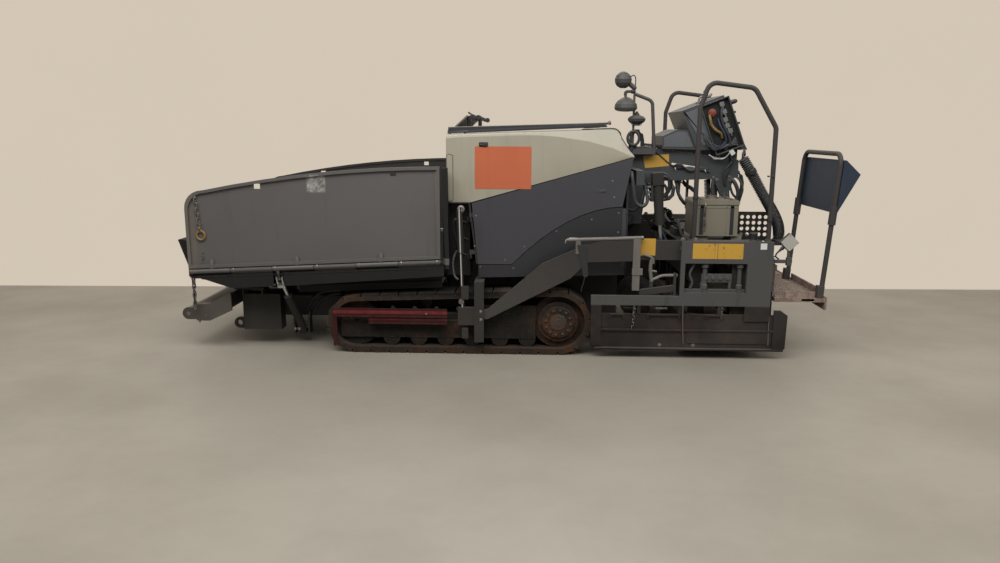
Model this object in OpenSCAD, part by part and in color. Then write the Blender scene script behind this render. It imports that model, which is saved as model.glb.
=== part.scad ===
// Compact tracked asphalt paver: hopper in front, engine hood, screed at the rear.
// Millimetres. +X towards the hopper, +Y the machine's left side, +Z up, ground at Z = 0.

/* [Machine] */
// Width over the folded hopper wings
machine_w = 1850; // [1800:10:1950]
// Thickness of heavy structural plate
plate_t = 12; // [8:1:16]

/* [Tracks] */
// Distance between idler and sprocket centres
track_base = 1480; // [1400:10:1560]
// Radius to the shoe faces over the front idler
idler_r = 218; // [210:1:226]
// Radius to the shoe faces over the rear sprocket
sprocket_r = 243; // [236:1:250]
// Width of one track
track_w = 250; // [230:5:260]
// Height of a shoe's lug over the belt
lug_h = 22; // [16:1:26]

/* [Hopper] */
// Height of the wing hinge at its front end
hinge_front_z = 600; // [590:2:616]
// Height of the wing hinge at its rear end
hinge_rear_z = 690; // [680:2:706]
// Length of a wing along the machine
wing_len = 1825; // [1800:5:1850]
// Height of the wing's top edge at its rear end
wing_top_z = 1364; // [1330:2:1390]
// Width of the conveyor between its side walls
conveyor_w = 600; // [560:4:616]

/* [Hood] */
// Width of the hood
hood_w = 1600; // [1560:10:1640]
// Height of the hood's top at its front edge
hood_front_z = 1587; // [1560:1:1610]
// Height of the hood's top at its rear edge
hood_rear_z = 1627; // [1615:1:1650]

/* [Screed] */
// Height of the screed's sole over the ground as parked
sole_z = 72; // [66:1:90]
// Travel of one extension screed
extension_travel = 775; // [700:25:780]
// Outer radius of a telescoping guide tube
guide_r = 45; // [38:1:50]
// Diameter of the augers
auger_d = 300; // [260:5:310]

/* [Rails] */
// Diameter of the handrail tubes
rail_d = 34; // [28:1:38]
// Height of the operator's handrails
rail_top_z = 1954; // [1900:2:1990]

/* [Hidden] */
$fn = 32;

// Running clearance of a shaft in its bore, and the gap where one piece rests on another
fit = 0.05;
swing_fit = 0.3;
seat = 0.3;
// Elbows of bent tubes are this much thicker than the straights
elbow_extra = 0.2;

// Side planes, from the machine's middle outwards
half_w = machine_w / 2;
wing_y = half_w - 20;
track_out_y = half_w - 55;
track_in_y = track_out_y - track_w;
hood_y = hood_w / 2;
beam_out_y = track_in_y - 30;
beam_in_y = conveyor_w / 2 + plate_t;

// Track stations
sprocket_x = -271;
idler_x = sprocket_x + track_base;
belt_t = 26;
shoe_count = 32;

// Hopper stations
wing_rear_x = 577;
wing_front_x = wing_rear_x + wing_len;
hinge_tilt = atan((hinge_rear_z - hinge_front_z) / wing_len);
hinge_len = wing_len / cos(hinge_tilt);
hinge_r = 19;
hinge_pin_r = 8;
knuckles = 6;
knuckle_gap = 4;
wing_crown_r = 8300;
wing_corner_r = 130;
wing_rim = 22;
wing_panel_t = 8;
wing_open = 65;
lever_x = wing_rear_x + round(wing_len * 0.6455);
lever_w = 18;
lever_drop = 80;
lever_in = 30;
pan_drop = 50;
pan_t = 8;
pan_in_z = hinge_front_z - 222;
hopper_back_x = 560;
rib_x = [640, 1030, 1410, 1800];
strip_y = 790;

// Chassis stations
chassis_rear_x = -720;
chassis_front_x = 2050;
beam_low_z = 210;
beam_top_z = 365;
deck_z = 640;
conveyor_r = 62;
conveyor_front_x = 1935;
conveyor_rear_x = -640;
conveyor_z = 290;

// Tie-down eyes: middle of each left-hand bore at its inner face
eye_t = 25;
eye_r = 42;
eye_bore_r = 22;
eye_front = [2147, 650, 165];
eye_rear = [-808, 450, 960];

// Hood outline
hood_front_x = 543;
hood_rear_x = -695;
hood_t = 10;
cream_low = [367, 1108];
cream_rear = [-793, 1437];
hood_shoulder = [-749, 1482];
skirt_low_z = 560;
skirt_rear_x = -745;

// Tow point and arms
tow = [300, 300];
tow_pin_r = 16;
arm_t = 20;
arm_out_y = half_w - 10;
arm_in_y = arm_out_y - arm_t;
guide_front_x = 336;
guide_rear_x = 268;

// Screed stations
screed_front_x = -1165;
screed_rear_x = -1480;
ext_front_x = -1496;
ext_rear_x = -1790;
ext_in_y = 8;
ext_out_y = half_w - 42;
gate_t = 22;
gate_y = half_w - gate_t;
guide_left_x = -1560;
guide_right_x = -1690;
guide_z = 640;
house_top_z = 857;
carrier_x = [-1330, -1200];
carrier_z = [560, 715];

// Push beam stations
push_pivot_x = 2150;
push_pin_r = 20;
roller_x = 2459;
roller_z = 276;
roller_r = 42;
roller_pin_r = 15;
roller_in_y = 62;
roller_out_y = half_w - 92;

// Rear rail stations
rail_r = rail_d / 2;
rear_rail_x = -2130;
rail_lean = 3.8;
cover_deep = 140;
cover_tip_up = 880;
cover_tip_x = rear_rail_x - cover_deep * cos(rail_lean) - cover_tip_up * sin(rail_lean);
rail_near_y = half_w - 50;
rail_far_y = 160;

// The origin sits under the middle of the overall length
front_tip_x = roller_x + roller_r + 3;
origin_x = (front_tip_x + cover_tip_x) / 2;

// Shared shapes

module machine_frame() {
    translate([-origin_x, 0, 0])
    children();
}

module both_sides() {
    children();
    mirror([0, 1, 0]) children();
}

// A plate whose outline is drawn in X and Z, lying between two Y planes
module side_slab(y0, y1, outline) {
    translate([0, y1, 0])
    rotate([90, 0, 0])
    linear_extrude(y1 - y0)
    polygon(outline);
}

// A block between two corners
module block(low, high) {
    translate(low) cube(high - low);
}

// A round bar along Y
module cross_bar(x, z, y0, y1, r) {
    translate([x, y1, z]) rotate([90, 0, 0]) cylinder(h = y1 - y0, r = r);
}

// A round bar between two points
module rod(a, b, r) {
    d = b - a;
    translate(a)
    rotate([0, acos(d[2] / norm(d)), atan2(d[1], d[0])])
    cylinder(h = norm(d), r = r);
}

function unit(v) = v / norm(v);
function turn(a, b) = a[0] * b[1] - a[1] * b[0];
function bend_angle(a, b, c) = acos(max(-1, min(1, unit(b - a) * unit(c - b))));
function cutback(p, i, r) =
    i <= 0 || i >= len(p) - 1 ? 0 : r * tan(bend_angle(p[i - 1], p[i], p[i + 1]) / 2);

// A vector turned about a unit axis
function spin(v, k, t) = v * cos(t) + cross(k, v) * sin(t) + k * (k * v) * (1 - cos(t));

// A chain of flat links hanging from the origin, every second link turned by 90 degrees
function stadium(l, w) = concat(
    [for (a = [0 : 60 : 180]) [cos(a) * w / 2, (l - w) / 2 + sin(a) * w / 2]],
    [for (a = [180 : 60 : 360]) [cos(a) * w / 2, (w - l) / 2 + sin(a) * w / 2]]);
module link(l, w, t) {
    translate([0, t / 2, 0])
    rotate([90, 0, 0])
    linear_extrude(t)
    difference() {
        polygon(stadium(l, w));
        polygon(stadium(l - 2 * t, w - 2 * t));
    }
}
link_bite = 0.4;
module chain(count, l, w, t) {
    for (k = [0 : count - 1])
        translate([0, 0, -l / 2 - k * (l - 2 * t + link_bite)])
        rotate(k % 2 * 90)
        link(l, w, t);
}

// A bent tube along a flat path of points, drawn in local X and Y
module bent_tube(p, r, bend) {
    for (i = [0 : len(p) - 2]) {
        d = unit(p[i + 1] - p[i]);
        a = p[i] + d * (cutback(p, i, bend) - (i > 0 ? 1 : 0));
        b = p[i + 1] - d * (cutback(p, i + 1, bend) - (i < len(p) - 2 ? 1 : 0));
        rod([a[0], a[1], 0], [b[0], b[1], 0], r);
    }
    for (i = [1 : len(p) - 2]) {
        d = unit(p[i] - p[i - 1]);
        e = unit(p[i + 1] - p[i]);
        side = turn(d, e) > 0 ? 1 : -1;
        c = p[i] - d * cutback(p, i, bend) + [-d[1], d[0]] * side * bend;
        f = side > 0 ? d : e;
        translate([c[0], c[1], 0])
        rotate(atan2(-f[0] * side, f[1] * side))
        rotate_extrude(angle = bend_angle(p[i - 1], p[i], p[i + 1]))
        translate([bend, 0]) circle(r = r + elbow_extra);
    }
}

// A hose swept with eight sides along its own route
function ring(c, d, r, sides) =
    let (u = unit(cross(d, abs(d[2]) > 0.9 ? [1, 0, 0] : [0, 0, 1])), v = cross(d, u))
    [for (k = [0 : sides - 1]) c + r * (cos(360 * k / sides) * u + sin(360 * k / sides) * v)];
module hose(route, r) {
    sides = 8;
    n = len(route);
    points = [for (i = [0 : n - 1])
        each ring(route[i], unit(route[min(i + 1, n - 1)] - route[max(i - 1, 0)]), r, sides)];
    walls = [for (i = [0 : n - 2]) for (k = [0 : sides - 1])
        let (a = i * sides + k, b = i * sides + (k + 1) % sides)
        each [[a, b + sides, b], [a, a + sides, b + sides]]];
    ends = [[for (k = [0 : sides - 1]) k], [for (k = [sides - 1 : -1 : 0]) (n - 1) * sides + k]];
    polyhedron(points, concat(walls, ends));
}

// A loop round two wheels that stand on one line: points at a distance along the pitch line
function loop_beta(r1, r2, base) = atan((r2 - r1) / base);
function loop_len(r1, r2, base) =
    2 * base + PI / 180 * (r1 * (180 - 2 * loop_beta(r1, r2, base))
    + r2 * (180 + 2 * loop_beta(r1, r2, base)));
function loop_point(s, off, r1, r2, x1, x2) =
    let (base = x1 - x2, b = loop_beta(r1, r2, base),
         a1 = PI / 180 * r1 * (180 - 2 * b), a2 = PI / 180 * r2 * (180 + 2 * b))
    s <= base ? [x2 + s, off] :
    s <= base + a1 ?
        let (t = -90 + (s - base) / r1 * 180 / PI)
        [x1, r1] + (r1 - off) * [cos(t), sin(t)] :
    s <= 2 * base + a1 ?
        let (t = 90 - 2 * b, u = s - base - a1)
        [x1, r1] + (r1 - off) * [cos(t), sin(t)] + u * [-sin(t), cos(t)] :
        let (t = 90 - 2 * b + (s - 2 * base - a1) / r2 * 180 / PI)
        [x2, r2] + (r2 - off) * [cos(t), sin(t)];

// Tracks

function shoe_outline(n, gap, deep, r1, r2, x1, x2) =
    let (pitch = loop_len(r1, r2, x1 - x2) / n)
    [for (k = [0 : n - 1], c = [[gap, deep], [gap, 0], [pitch - gap, 0], [pitch - gap, deep]])
        loop_point(k * pitch + c[0], c[1], r1, r2, x1, x2)];
function loop_inside(off, steps, r1, r2, x1, x2) =
    let (whole = loop_len(r1, r2, x1 - x2))
    [for (k = [0 : steps - 1]) loop_point(k * whole / steps, off, r1, r2, x1, x2)];

module track() {
    side_y = [track_in_y, track_out_y];
    difference() {
        side_slab(side_y[0], side_y[1],
            shoe_outline(shoe_count, 6, lug_h, idler_r, sprocket_r, idler_x, sprocket_x));
        side_slab(side_y[0] - 1, side_y[1] + 1,
            loop_inside(lug_h + belt_t, 96, idler_r, sprocket_r, idler_x, sprocket_x));
    }
}
module track_left() { color("#2b2620") track(); }
module track_right() { color("#2b2620") mirror([0, 1, 0]) track(); }

// Frame, rollers, idler and drive inside one track
roller_count = 6;
track_wheel_gap = lug_h + belt_t + 1.3;
module undercarriage() {
    mid_y = (track_in_y + track_out_y) / 2;
    roller_r1 = 62;
    roller_z1 = track_wheel_gap + roller_r1;
    // Longitudinal box frame that carries the rollers, with its stepped outer plate
    block([sprocket_x + 250, beam_out_y, 150], [idler_x - 60, track_out_y - 61, 290]);
    side_slab(track_out_y - 62, track_out_y - 40, [
        [sprocket_x + 166, 111], [idler_x + 117, 111], [idler_x + 117, 242],
        [sprocket_x + 600, 242], [sprocket_x + 600, 358], [sprocket_x + 166, 358]]);
    // Idler and its axle
    cross_bar(idler_x, idler_r, track_in_y + 30, track_out_y - 61, idler_r - track_wheel_gap);
    block([idler_x - 120, beam_out_y, 200], [idler_x + 30, track_in_y + 40, 250]);
    // Sprocket, its dark ring and the final drive's cover
    cross_bar(sprocket_x, sprocket_r, track_in_y + 60, track_out_y - 60, sprocket_r - track_wheel_gap);
    cross_bar(sprocket_x, sprocket_r, beam_out_y, track_out_y - 30, 145);
    cross_bar(sprocket_x, sprocket_r, beam_out_y, track_out_y - 8, 113);
    block([sprocket_x - 60, beam_out_y, 200], [sprocket_x + 300, track_in_y + 40, 280]);
    for (k = [0 : roller_count - 1]) {
        x = sprocket_x + 225 + k * (track_base - 480) / (roller_count - 1);
        cross_bar(x, roller_z1, track_in_y + 40, track_out_y - 46, roller_r1);
    }
    // Carrier rollers under the upper run
    for (x = [sprocket_x + 480, sprocket_x + 960]) {
        top = loop_point(loop_len(idler_r, sprocket_r, track_base) - PI * sprocket_r
            - (x - sprocket_x), track_wheel_gap, idler_r, sprocket_r, idler_x, sprocket_x)[1];
        cross_bar(x, top - 34, track_in_y + 70, track_out_y - 70, 32);
        block([x - 20, mid_y - 40, 280], [x + 20, mid_y + 40, top - 34]);
    }
}
module undercarriage_left() { color("#3a3632") undercarriage(); }
module undercarriage_right() { color("#3a3632") mirror([0, 1, 0]) undercarriage(); }

// Red angle bars in front of each track's front half, held by stays through the loop;
// stations along the bars are counted from the idler
module guard_bars() {
    y = track_out_y + 2;
    color("#8c1f1f")
    translate([idler_x, 0, 0])
    both_sides() {
        for (bar = [[-671, 144, 274, 337], [-671, -97, 224, 262]]) {
            block([bar[0], y, bar[2]], [bar[1], y + 5, bar[3]]);
            block([bar[0], y, bar[2]], [bar[1], y + 18, bar[2] + 6]);
        }
        for (x = [-671, -125])
            block([x, y, 224], [x + 28, y + 8, 337]);
        block([139, y, 53], [169, y + 8, 337]);
        for (x = [-589, -169])
            block([x, track_out_y - 40 + seat, 226], [x + 24, y + 1, 241]);
    }
}

// Chassis: two box beams with the conveyor's channel between them, and the deck over the tunnel
module chassis() {
    color("#33353a")
    difference() {
        union() {
            both_sides() {
                block([chassis_rear_x, beam_in_y - plate_t, beam_low_z],
                      [chassis_front_x, beam_out_y, beam_top_z]);
                block([chassis_rear_x, beam_in_y - plate_t, beam_top_z - 1],
                      [hood_front_x, beam_in_y + 20, deck_z]);
                block([chassis_rear_x, beam_out_y - 25, beam_top_z - 1],
                      [hood_front_x, beam_out_y, deck_z]);
                // Front corner boxes
                block([1818, beam_out_y - 1, 121], [2105, 700, 397]);
                block([1919, beam_out_y - 1, 441], [2142, 760, 456]);
                for (x = [1935, 2080])
                    block([x, beam_out_y - 1, 396], [x + 12, 740, 442]);
                // Cylinder brackets
                for (x = [wing_base[0] - 62, wing_base[0] + 50])
                    translate([x, beam_out_y, 0])
                    rotate([90, 0, 90])
                    linear_extrude(12)
                    polygon([[-1, 80], [70, 80], [70, 200], [40, 250], [-1, 250]]);
                // Tow guide brackets over the track
                block([guide_rear_x, beam_out_y - 1, 500], [guide_front_x, arm_in_y - 15, 548]);
            }
            // Deck over the conveyor tunnel
            block([chassis_rear_x, -beam_out_y, deck_z - plate_t],
                  [hood_front_x, beam_out_y, deck_z]);
            // Floor under the conveyor
            block([chassis_rear_x + 60, -beam_in_y, beam_low_z - plate_t],
                  [chassis_front_x - 40, beam_in_y, beam_low_z]);
            // Tie-down eyes at the front corners
            both_sides()
            tie_eye(2100, eye_front);
            // Nose plates for the push beam
            for (z = [beam_low_z - plate_t, beam_top_z])
                block([chassis_front_x - 90, -170, z], [push_pivot_x + 50, 170, z + plate_t]);
            block([chassis_front_x - 30, -beam_in_y, beam_low_z], [chassis_front_x, beam_in_y, beam_top_z]);
            translate([push_pivot_x, 0, beam_low_z - 30])
                cylinder(h = beam_top_z - beam_low_z + 60, r = push_pin_r);
        }
        both_sides()
        cross_bar(eye_front[0], eye_front[2], eye_front[1] - 1, eye_front[1] + eye_t + 1, eye_bore_r);
        both_sides()
        rod(wing_base - wing_tilt_axis * 72, wing_base + wing_tilt_axis * 72, trunnion_r + swing_fit);
    }
}

// Ear plate of a tie-down eye: its round end about the bore, and its foot on the face at x
module tie_eye(x, at) {
    cross_bar(at[0], at[2], at[1], at[1] + eye_t, eye_r);
    block([min(x, at[0]), at[1], at[2] - eye_r], [max(x, at[0]), at[1] + eye_t, at[2] + eye_r]);
}

// A round bar along X
module cross_bar_x(x0, x1, y, z, r) {
    translate([x0, y, z]) rotate([0, 90, 0]) cylinder(h = x1 - x0, r = r);
}

module engine() {
    color("#5c6066") block([-330, -290, deck_z], [330, 290, 1340]);
}

// Hopper: a rib reaches out to the strip over the track where there is one
strip_x = [580, 1640];
function rib_outline(x) = concat(
    [[beam_in_y, beam_top_z], [beam_out_y, beam_top_z]],
    x < strip_x[1] ? [[beam_out_y, 505], [strip_y - 2, 505],
        [strip_y - 2, pan_z(x, strip_y - 2) + pan_t / 2]] : [],
    [[beam_out_y, pan_z(x, beam_out_y) + pan_t / 2], [beam_in_y, pan_z(x, beam_in_y) + pan_t / 2]]);

function hinge_z(x) = hinge_rear_z - (x - wing_rear_x) * tan(hinge_tilt);
function wing_top(x) = wing_top_z - pow(x - wing_rear_x + 17, 2) / (2 * wing_crown_r);
// Outline of a wing in X and Z, shrunk by an inset on every side
function wing_outline(inset) =
    let (x0 = wing_rear_x + inset, x1 = wing_front_x - inset, r = wing_corner_r,
         zc = wing_top(x1 - r) - inset - r, low = hinge_r + 5 + inset)
    concat([[x0, hinge_z(x0) + low]],
        [for (k = [0 : 8]) let (x = x0 + (x1 - r - x0) * k / 8) [x, wing_top(x) - inset]],
        [for (a = [75 : -15 : 0]) [x1 - r + r * cos(a), zc + r * sin(a)]],
        [[x1, hinge_z(x1) + low]]);

// Puts its children in the hinge's frame: X along the pin, origin at the rear end
module on_hinge() {
    translate([wing_rear_x, wing_y, hinge_rear_z])
    rotate([0, hinge_tilt, 0])
    children();
}
module hinge_knuckles(first, tab_low, tab_high) {
    pitch = hinge_len / knuckles;
    for (k = [first : 2 : knuckles - 1]) {
        a = k * pitch + knuckle_gap / 2;
        b = (k + 1) * pitch - knuckle_gap / 2;
        translate([a, 0, 0]) rotate([0, 90, 0]) cylinder(h = b - a, r = hinge_r);
        block([a, -wing_panel_t / 2, tab_low], [b, wing_panel_t / 2, tab_high]);
    }
}

// Hook of the wing's chain: an open ring in X and Z
function arc(at, r, a0, a1, steps) =
    [for (k = [0 : steps]) at + r * [cos(a0 + (a1 - a0) * k / steps), sin(a0 + (a1 - a0) * k / steps)]];
// Square holes: middle in X and Z, length and height
wing_holes = [[1876, 1219, 46, 36], [905, 1311, 42, 32]];
wing_stop_x = [1004, 1612, 2233];
module wing() {
    difference() {
        union() {
            side_slab(wing_y - wing_panel_t / 2, wing_y + wing_panel_t / 2, wing_outline(4));
            // Stop lugs outside, above the hinge
            for (x = wing_stop_x)
                side_slab(wing_y + 3, wing_y + 17, [
                    [x - 17, hinge_z(x) + 30], [x + 17, hinge_z(x) + 30], [x + 17, hinge_z(x) + 76],
                    [x + 7, hinge_z(x) + 94], [x - 7, hinge_z(x) + 94], [x - 17, hinge_z(x) + 76]]);
            // Locking chain with its hook
            cross_bar(2322, 1138, wing_y + 3, wing_y + 18, 4);
            translate([2322, wing_y + 11, 1143]) rotate([0, 5, 0]) chain(7, 32, 14, 4);
            side_slab(wing_y + 8, wing_y + 14, concat(
                arc([2299, 866], 36, 110, -170, 8), arc([2299, 866], 22, -170, 110, 8)));
            side_slab(wing_y + 8, wing_y + 14, [[2280, 898], [2296, 898], [2312, 990], [2303, 990]]);
            difference() {
                side_slab(wing_y - 14, half_w, wing_outline(0));
                side_slab(wing_y - 15, half_w + 1, wing_outline(wing_rim));
            }
            on_hinge() hinge_knuckles(1, 0, hinge_r + 20);
            // Lever that the cylinder turns
            lever_z = hinge_z(lever_x);
            translate([lever_x - lever_w / 2, 0, 0])
            rotate([90, 0, 90])
            linear_extrude(lever_w)
            polygon([[wing_y - 14, lever_z - 6], [wing_y + 14, lever_z - 6],
                [wing_y - lever_in + 16, lever_z - lever_drop - 12],
                [wing_y - lever_in - 16, lever_z - lever_drop - 12]]);
        }
        on_hinge()
        translate([-1, 0, 0]) rotate([0, 90, 0]) cylinder(h = hinge_len + 2, r = hinge_pin_r + fit);
        for (h = wing_holes)
            block([h[0] - h[2] / 2, wing_y - 20, h[1] - h[3] / 2],
                  [h[0] + h[2] / 2, half_w + 1, h[1] + h[3] / 2]);
    }
}
module wing_left() { color("#6a6867") wing(); }
module wing_right() { color("#6a6867") mirror([0, 1, 0]) wing(); }

// Underside of the sloped floor
function pan_z(x, y) = hinge_z(x) - pan_drop
    - (wing_y - y) * (hinge_front_z - pan_drop - pan_in_z) / (wing_y - beam_in_y + plate_t);

// Fixed pan between the wings: sloped floors, ribs, rear wall, front sill and hinge pins
module hopper_side() {
    on_hinge() {
        hinge_knuckles(0, -pan_drop, 0);
        translate([-6, 0, 0]) rotate([0, 90, 0]) cylinder(h = hinge_len + 8, r = hinge_pin_r);
        // Sloped floor from the hinge's flange down to the conveyor
        translate([hopper_back_x - wing_rear_x - 6, 0, 0])
        rotate([90, 0, 90])
        linear_extrude(hinge_len - 4 + wing_rear_x - hopper_back_x + 6)
        polygon([[0, -pan_drop + 10], [0, -pan_drop], [beam_in_y - plate_t - wing_y, pan_in_z - hinge_front_z],
            [beam_in_y - plate_t - wing_y, pan_in_z - hinge_front_z + pan_t]]);
    }
}
module hopper() {
    tunnel_top = deck_z - 20;
    color("#5f5f60")
    difference() {
        union() {
            both_sides() {
                hopper_side();
                // Side plate under the hinge, with its raked front end
                side_slab(wing_y - 3, wing_y + 3, [
                    [554, hinge_z(554) - pan_drop + 16], [554, 587], [1602, 509], [2103, 481],
                    [2350, 560], [2402, hinge_z(2402) - pan_drop + 4], [2402, hinge_z(2402) - pan_drop + 16]]);
                // Strip over the track, and the sheet that closes the space above it
                side_slab(strip_y, strip_y + 16, [[strip_x[0], 531], [strip_x[1], 488],
                    [strip_x[1], 436], [strip_x[0], 484]]);
                side_slab(strip_y - 5, strip_y + 1, [[strip_x[0], pan_z(strip_x[0], strip_y) + 3],
                    [strip_x[1], pan_z(strip_x[1], strip_y) + 3], [strip_x[1], 480], [strip_x[0], 525]]);
                // Ribs from the beams up to the sloped floors
                for (x = rib_x)
                    translate([x, 0, 0])
                    rotate([90, 0, 90])
                    linear_extrude(plate_t)
                    polygon(rib_outline(x));
                // Lugs that hold the apron's hinge bar
                block([2376, wing_y - 30 + seat, 560], [apron_hinge[0] + 18, wing_y - 20, 622]);
                // Rear corner posts beside the hood
                side_slab(wing_y - 60, wing_y + 12,
                    [[515, 640], [540, 640], [567, wing_top_z - 10], [527, wing_top_z - 10]]);
            }
            // Rear wall with the tunnel's mouth
            translate([hood_front_x + seat, 0, 0])
            rotate([90, 0, 90])
            linear_extrude(hopper_back_x - hood_front_x - seat)
            polygon([[-wing_y + 20, 628], [-beam_out_y, 480], [-beam_out_y, beam_top_z],
                [beam_out_y, beam_top_z], [beam_out_y, 480], [wing_y - 20, 628],
                [wing_y - 20, 1180], [-wing_y + 20, 1180]]);
            // Front sill under the apron
            intersection() {
                side_slab(-wing_y + 26, wing_y - 26,
                    [[2390, 585], [2378, 585], [2140, 398], [2152, 398]]);
                rotate([90, 0, 90])
                translate([0, 0, 2000])
                linear_extrude(500)
                polygon([[-wing_y + 6, 545], [-wing_y + 6, 600], [wing_y - 6, 600], [wing_y - 6, 545],
                    [beam_in_y, 362], [-beam_in_y, 362]]);
            }
        }
        block([hopper_back_x - 20, -conveyor_w / 2, beam_top_z - 10],
              [hopper_back_x + 20, conveyor_w / 2, tunnel_top]);
        // Slots for the wing levers
        both_sides()
        block([lever_x - 38, wing_y - 160, 480], [lever_x + 38, wing_y + 8, 660]);
        // The floors end on the front sill's slope
        side_slab(-wing_y + 31, wing_y - 31, [[2152, 398], [2420, 599], [2420, 300], [2152, 300]]);
    }
    // Push chains under the apron's hinge
    color("#2b2825")
    both_sides() {
        block([2381, wing_y - 24, 561], [2391, wing_y - 4, 571]);
        translate([2386, wing_y - 13, 528]) {
            link(96, 24, 6);
            translate([0, 0, -37.4]) rotate(90) chain(6, 34, 18, 5);
        }
    }
    // Covers over the slots, inside the hopper
    color("#5f5f60")
    both_sides()
    difference() {
        translate([lever_x - 46, 0, 0])
        rotate([90, 0, 90])
        linear_extrude(92)
        polygon([[wing_y - 175, 500], [wing_y - 22, 580], [wing_y - 22, 672], [wing_y - 175, 640]]);
        block([lever_x - 39, wing_y - 167, 480], [lever_x + 39, wing_y, 660]);
    }
}

// Chain conveyor: deck, two chains with link-shaped outlines, and cross slats
slat_pitch = 178;
module conveyor() {
    chain_y = conveyor_w / 2 - 40;
    z0 = conveyor_z - conveyor_r;
    whole = loop_len(conveyor_r, conveyor_r, conveyor_front_x - conveyor_rear_x);
    color("#2e2c2a") {
        translate([0, 0, z0])
        for (y = [-chain_y - 14, chain_y - 14])
            difference() {
                side_slab(y, y + 28, shoe_outline(52, 20, 8,
                    conveyor_r, conveyor_r, conveyor_front_x, conveyor_rear_x));
                side_slab(y - 1, y + 29, loop_inside(22, 40,
                    conveyor_r, conveyor_r, conveyor_front_x, conveyor_rear_x));
            }
        for (k = [0 : 13], z = [z0 - 4, z0 + 2 * conveyor_r - 18])
            block([conveyor_rear_x + 60 + k * slat_pitch, -chain_y, z],
                  [conveyor_rear_x + 100 + k * slat_pitch, chain_y, z + 22]);
        for (x = [conveyor_front_x, conveyor_rear_x])
            cross_bar(x, conveyor_z, -beam_in_y + plate_t + seat, beam_in_y - plate_t - seat, 30);
    }
}

// Wing cylinders: barrel on the chassis, rod on the wing's lever, both leaning towards the rear
wing_base = [1675, beam_out_y + 43, 125];
wing_pin = [lever_x, wing_y - lever_in, hinge_z(lever_x) - lever_drop];
wing_hinge = [wing_rear_x, wing_y, hinge_rear_z];
wing_pin_open = wing_hinge
    + spin(wing_pin - wing_hinge, [-cos(hinge_tilt), 0, sin(hinge_tilt)], wing_open);
wing_cyl_dir = unit(wing_pin - wing_base);
wing_tilt_axis = unit(cross(wing_pin - wing_base, wing_pin_open - wing_base));
wing_cyl_r = 32;
wing_stem_r = 14;
trunnion_r = 12;
fork_w = 50;
module wing_barrel() {
    d = wing_cyl_dir;
    difference() {
        rod(wing_base - d * 36, wing_base + d * 330, wing_cyl_r);
        rod(wing_base + d * 60, wing_base + d * 400, wing_stem_r + fit);
    }
    rod(wing_base - wing_tilt_axis * 60, wing_base + wing_tilt_axis * 60, trunnion_r);
}
module wing_rod() {
    d = wing_cyl_dir;
    rod(wing_base + d * 90, wing_pin - d * 62, wing_stem_r);
    // Fork round the wing's lever
    translate([0, wing_pin[1], wing_pin[2]])
    rotate([-atan(d[1] / d[2]), 0, 0]) {
        for (x = [lever_x - fork_w / 2, lever_x + fork_w / 2 - 10])
            translate([x, 0, 0])
            rotate([90, 0, 90])
            linear_extrude(10)
            polygon([[-16, -62], [16, -62], [16, 8], [8, 18], [-8, 18], [-16, 8]]);
        block([lever_x - fork_w / 2 - 6, -20, -76], [lever_x + fork_w / 2, 20, -54]);
    }
}
module wing_barrel_left() { color("#2d2f33") wing_barrel(); }
module wing_barrel_right() { color("#2d2f33") mirror([0, 1, 0]) wing_barrel(); }
module wing_rod_left() { color("#b9bcc0") wing_rod(); }
module wing_rod_right() { color("#b9bcc0") mirror([0, 1, 0]) wing_rod(); }

// Front apron, hinged along its lower edge
apron_hinge = [2402, 606];
module apron() {
    tip = [2478, 831];
    d = unit(tip - apron_hinge);
    n = [d[1], -d[0]];
    color("#4a4a4c") {
        side_slab(-wing_y + 30, wing_y - 30,
            [apron_hinge, tip, tip + n * 10, apron_hinge + n * 10]);
        cross_bar(apron_hinge[0] + 4, apron_hinge[1], -wing_y + 30, wing_y - 30, 14);
        // Bent upper flange and the gussets at both ends
        side_slab(-wing_y + 30, wing_y - 30, [tip, tip + [3, -9], [2411, 813], [2411, 822]]);
        both_sides()
        side_slab(wing_y - 42, wing_y - 30, [apron_hinge + [8, 24], tip + [3, -3], [2411, 819]]);
    }
}

// Push beam with its side bars and roller brackets
module push_beam() {
    color("#3d3b3a")
    difference() {
        union() {
            block([2300, -half_w + 75, 222], [2400, half_w - 75, 340]);
            block([push_pivot_x - 35, -120, beam_low_z + 4], [2301, 120, beam_top_z - 4]);
            both_sides() {
                side_slab(roller_out_y + 2, roller_out_y + 22,
                    [[2135, 300], [2300, 222], [2400, 222], [2400, 345], [2300, 350], [2135, 440]]);
                for (y = [roller_in_y - 20, roller_out_y + 2]) {
                    block([2399, y, roller_z - 45], [roller_x, y + 18, roller_z + 45]);
                    cross_bar(roller_x, roller_z, y, y + 18, 45);
                }
            }
        }
        translate([push_pivot_x, 0, 0]) cylinder(h = 500, r = push_pin_r + swing_fit);
        both_sides()
        cross_bar(roller_x, roller_z, 0, half_w, roller_pin_r + fit);
    }
}
module push_roller() {
    cross_bar(roller_x, roller_z, roller_in_y, roller_out_y, roller_r);
    cross_bar(roller_x, roller_z, roller_in_y - 19, roller_out_y + 19, roller_pin_r);
}
module push_roller_left() { color("#55504a") push_roller(); }
module push_roller_right() { color("#55504a") mirror([0, 1, 0]) push_roller(); }

// Hood, doors, skirts and lid

hood_corner_r = 60;
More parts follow.
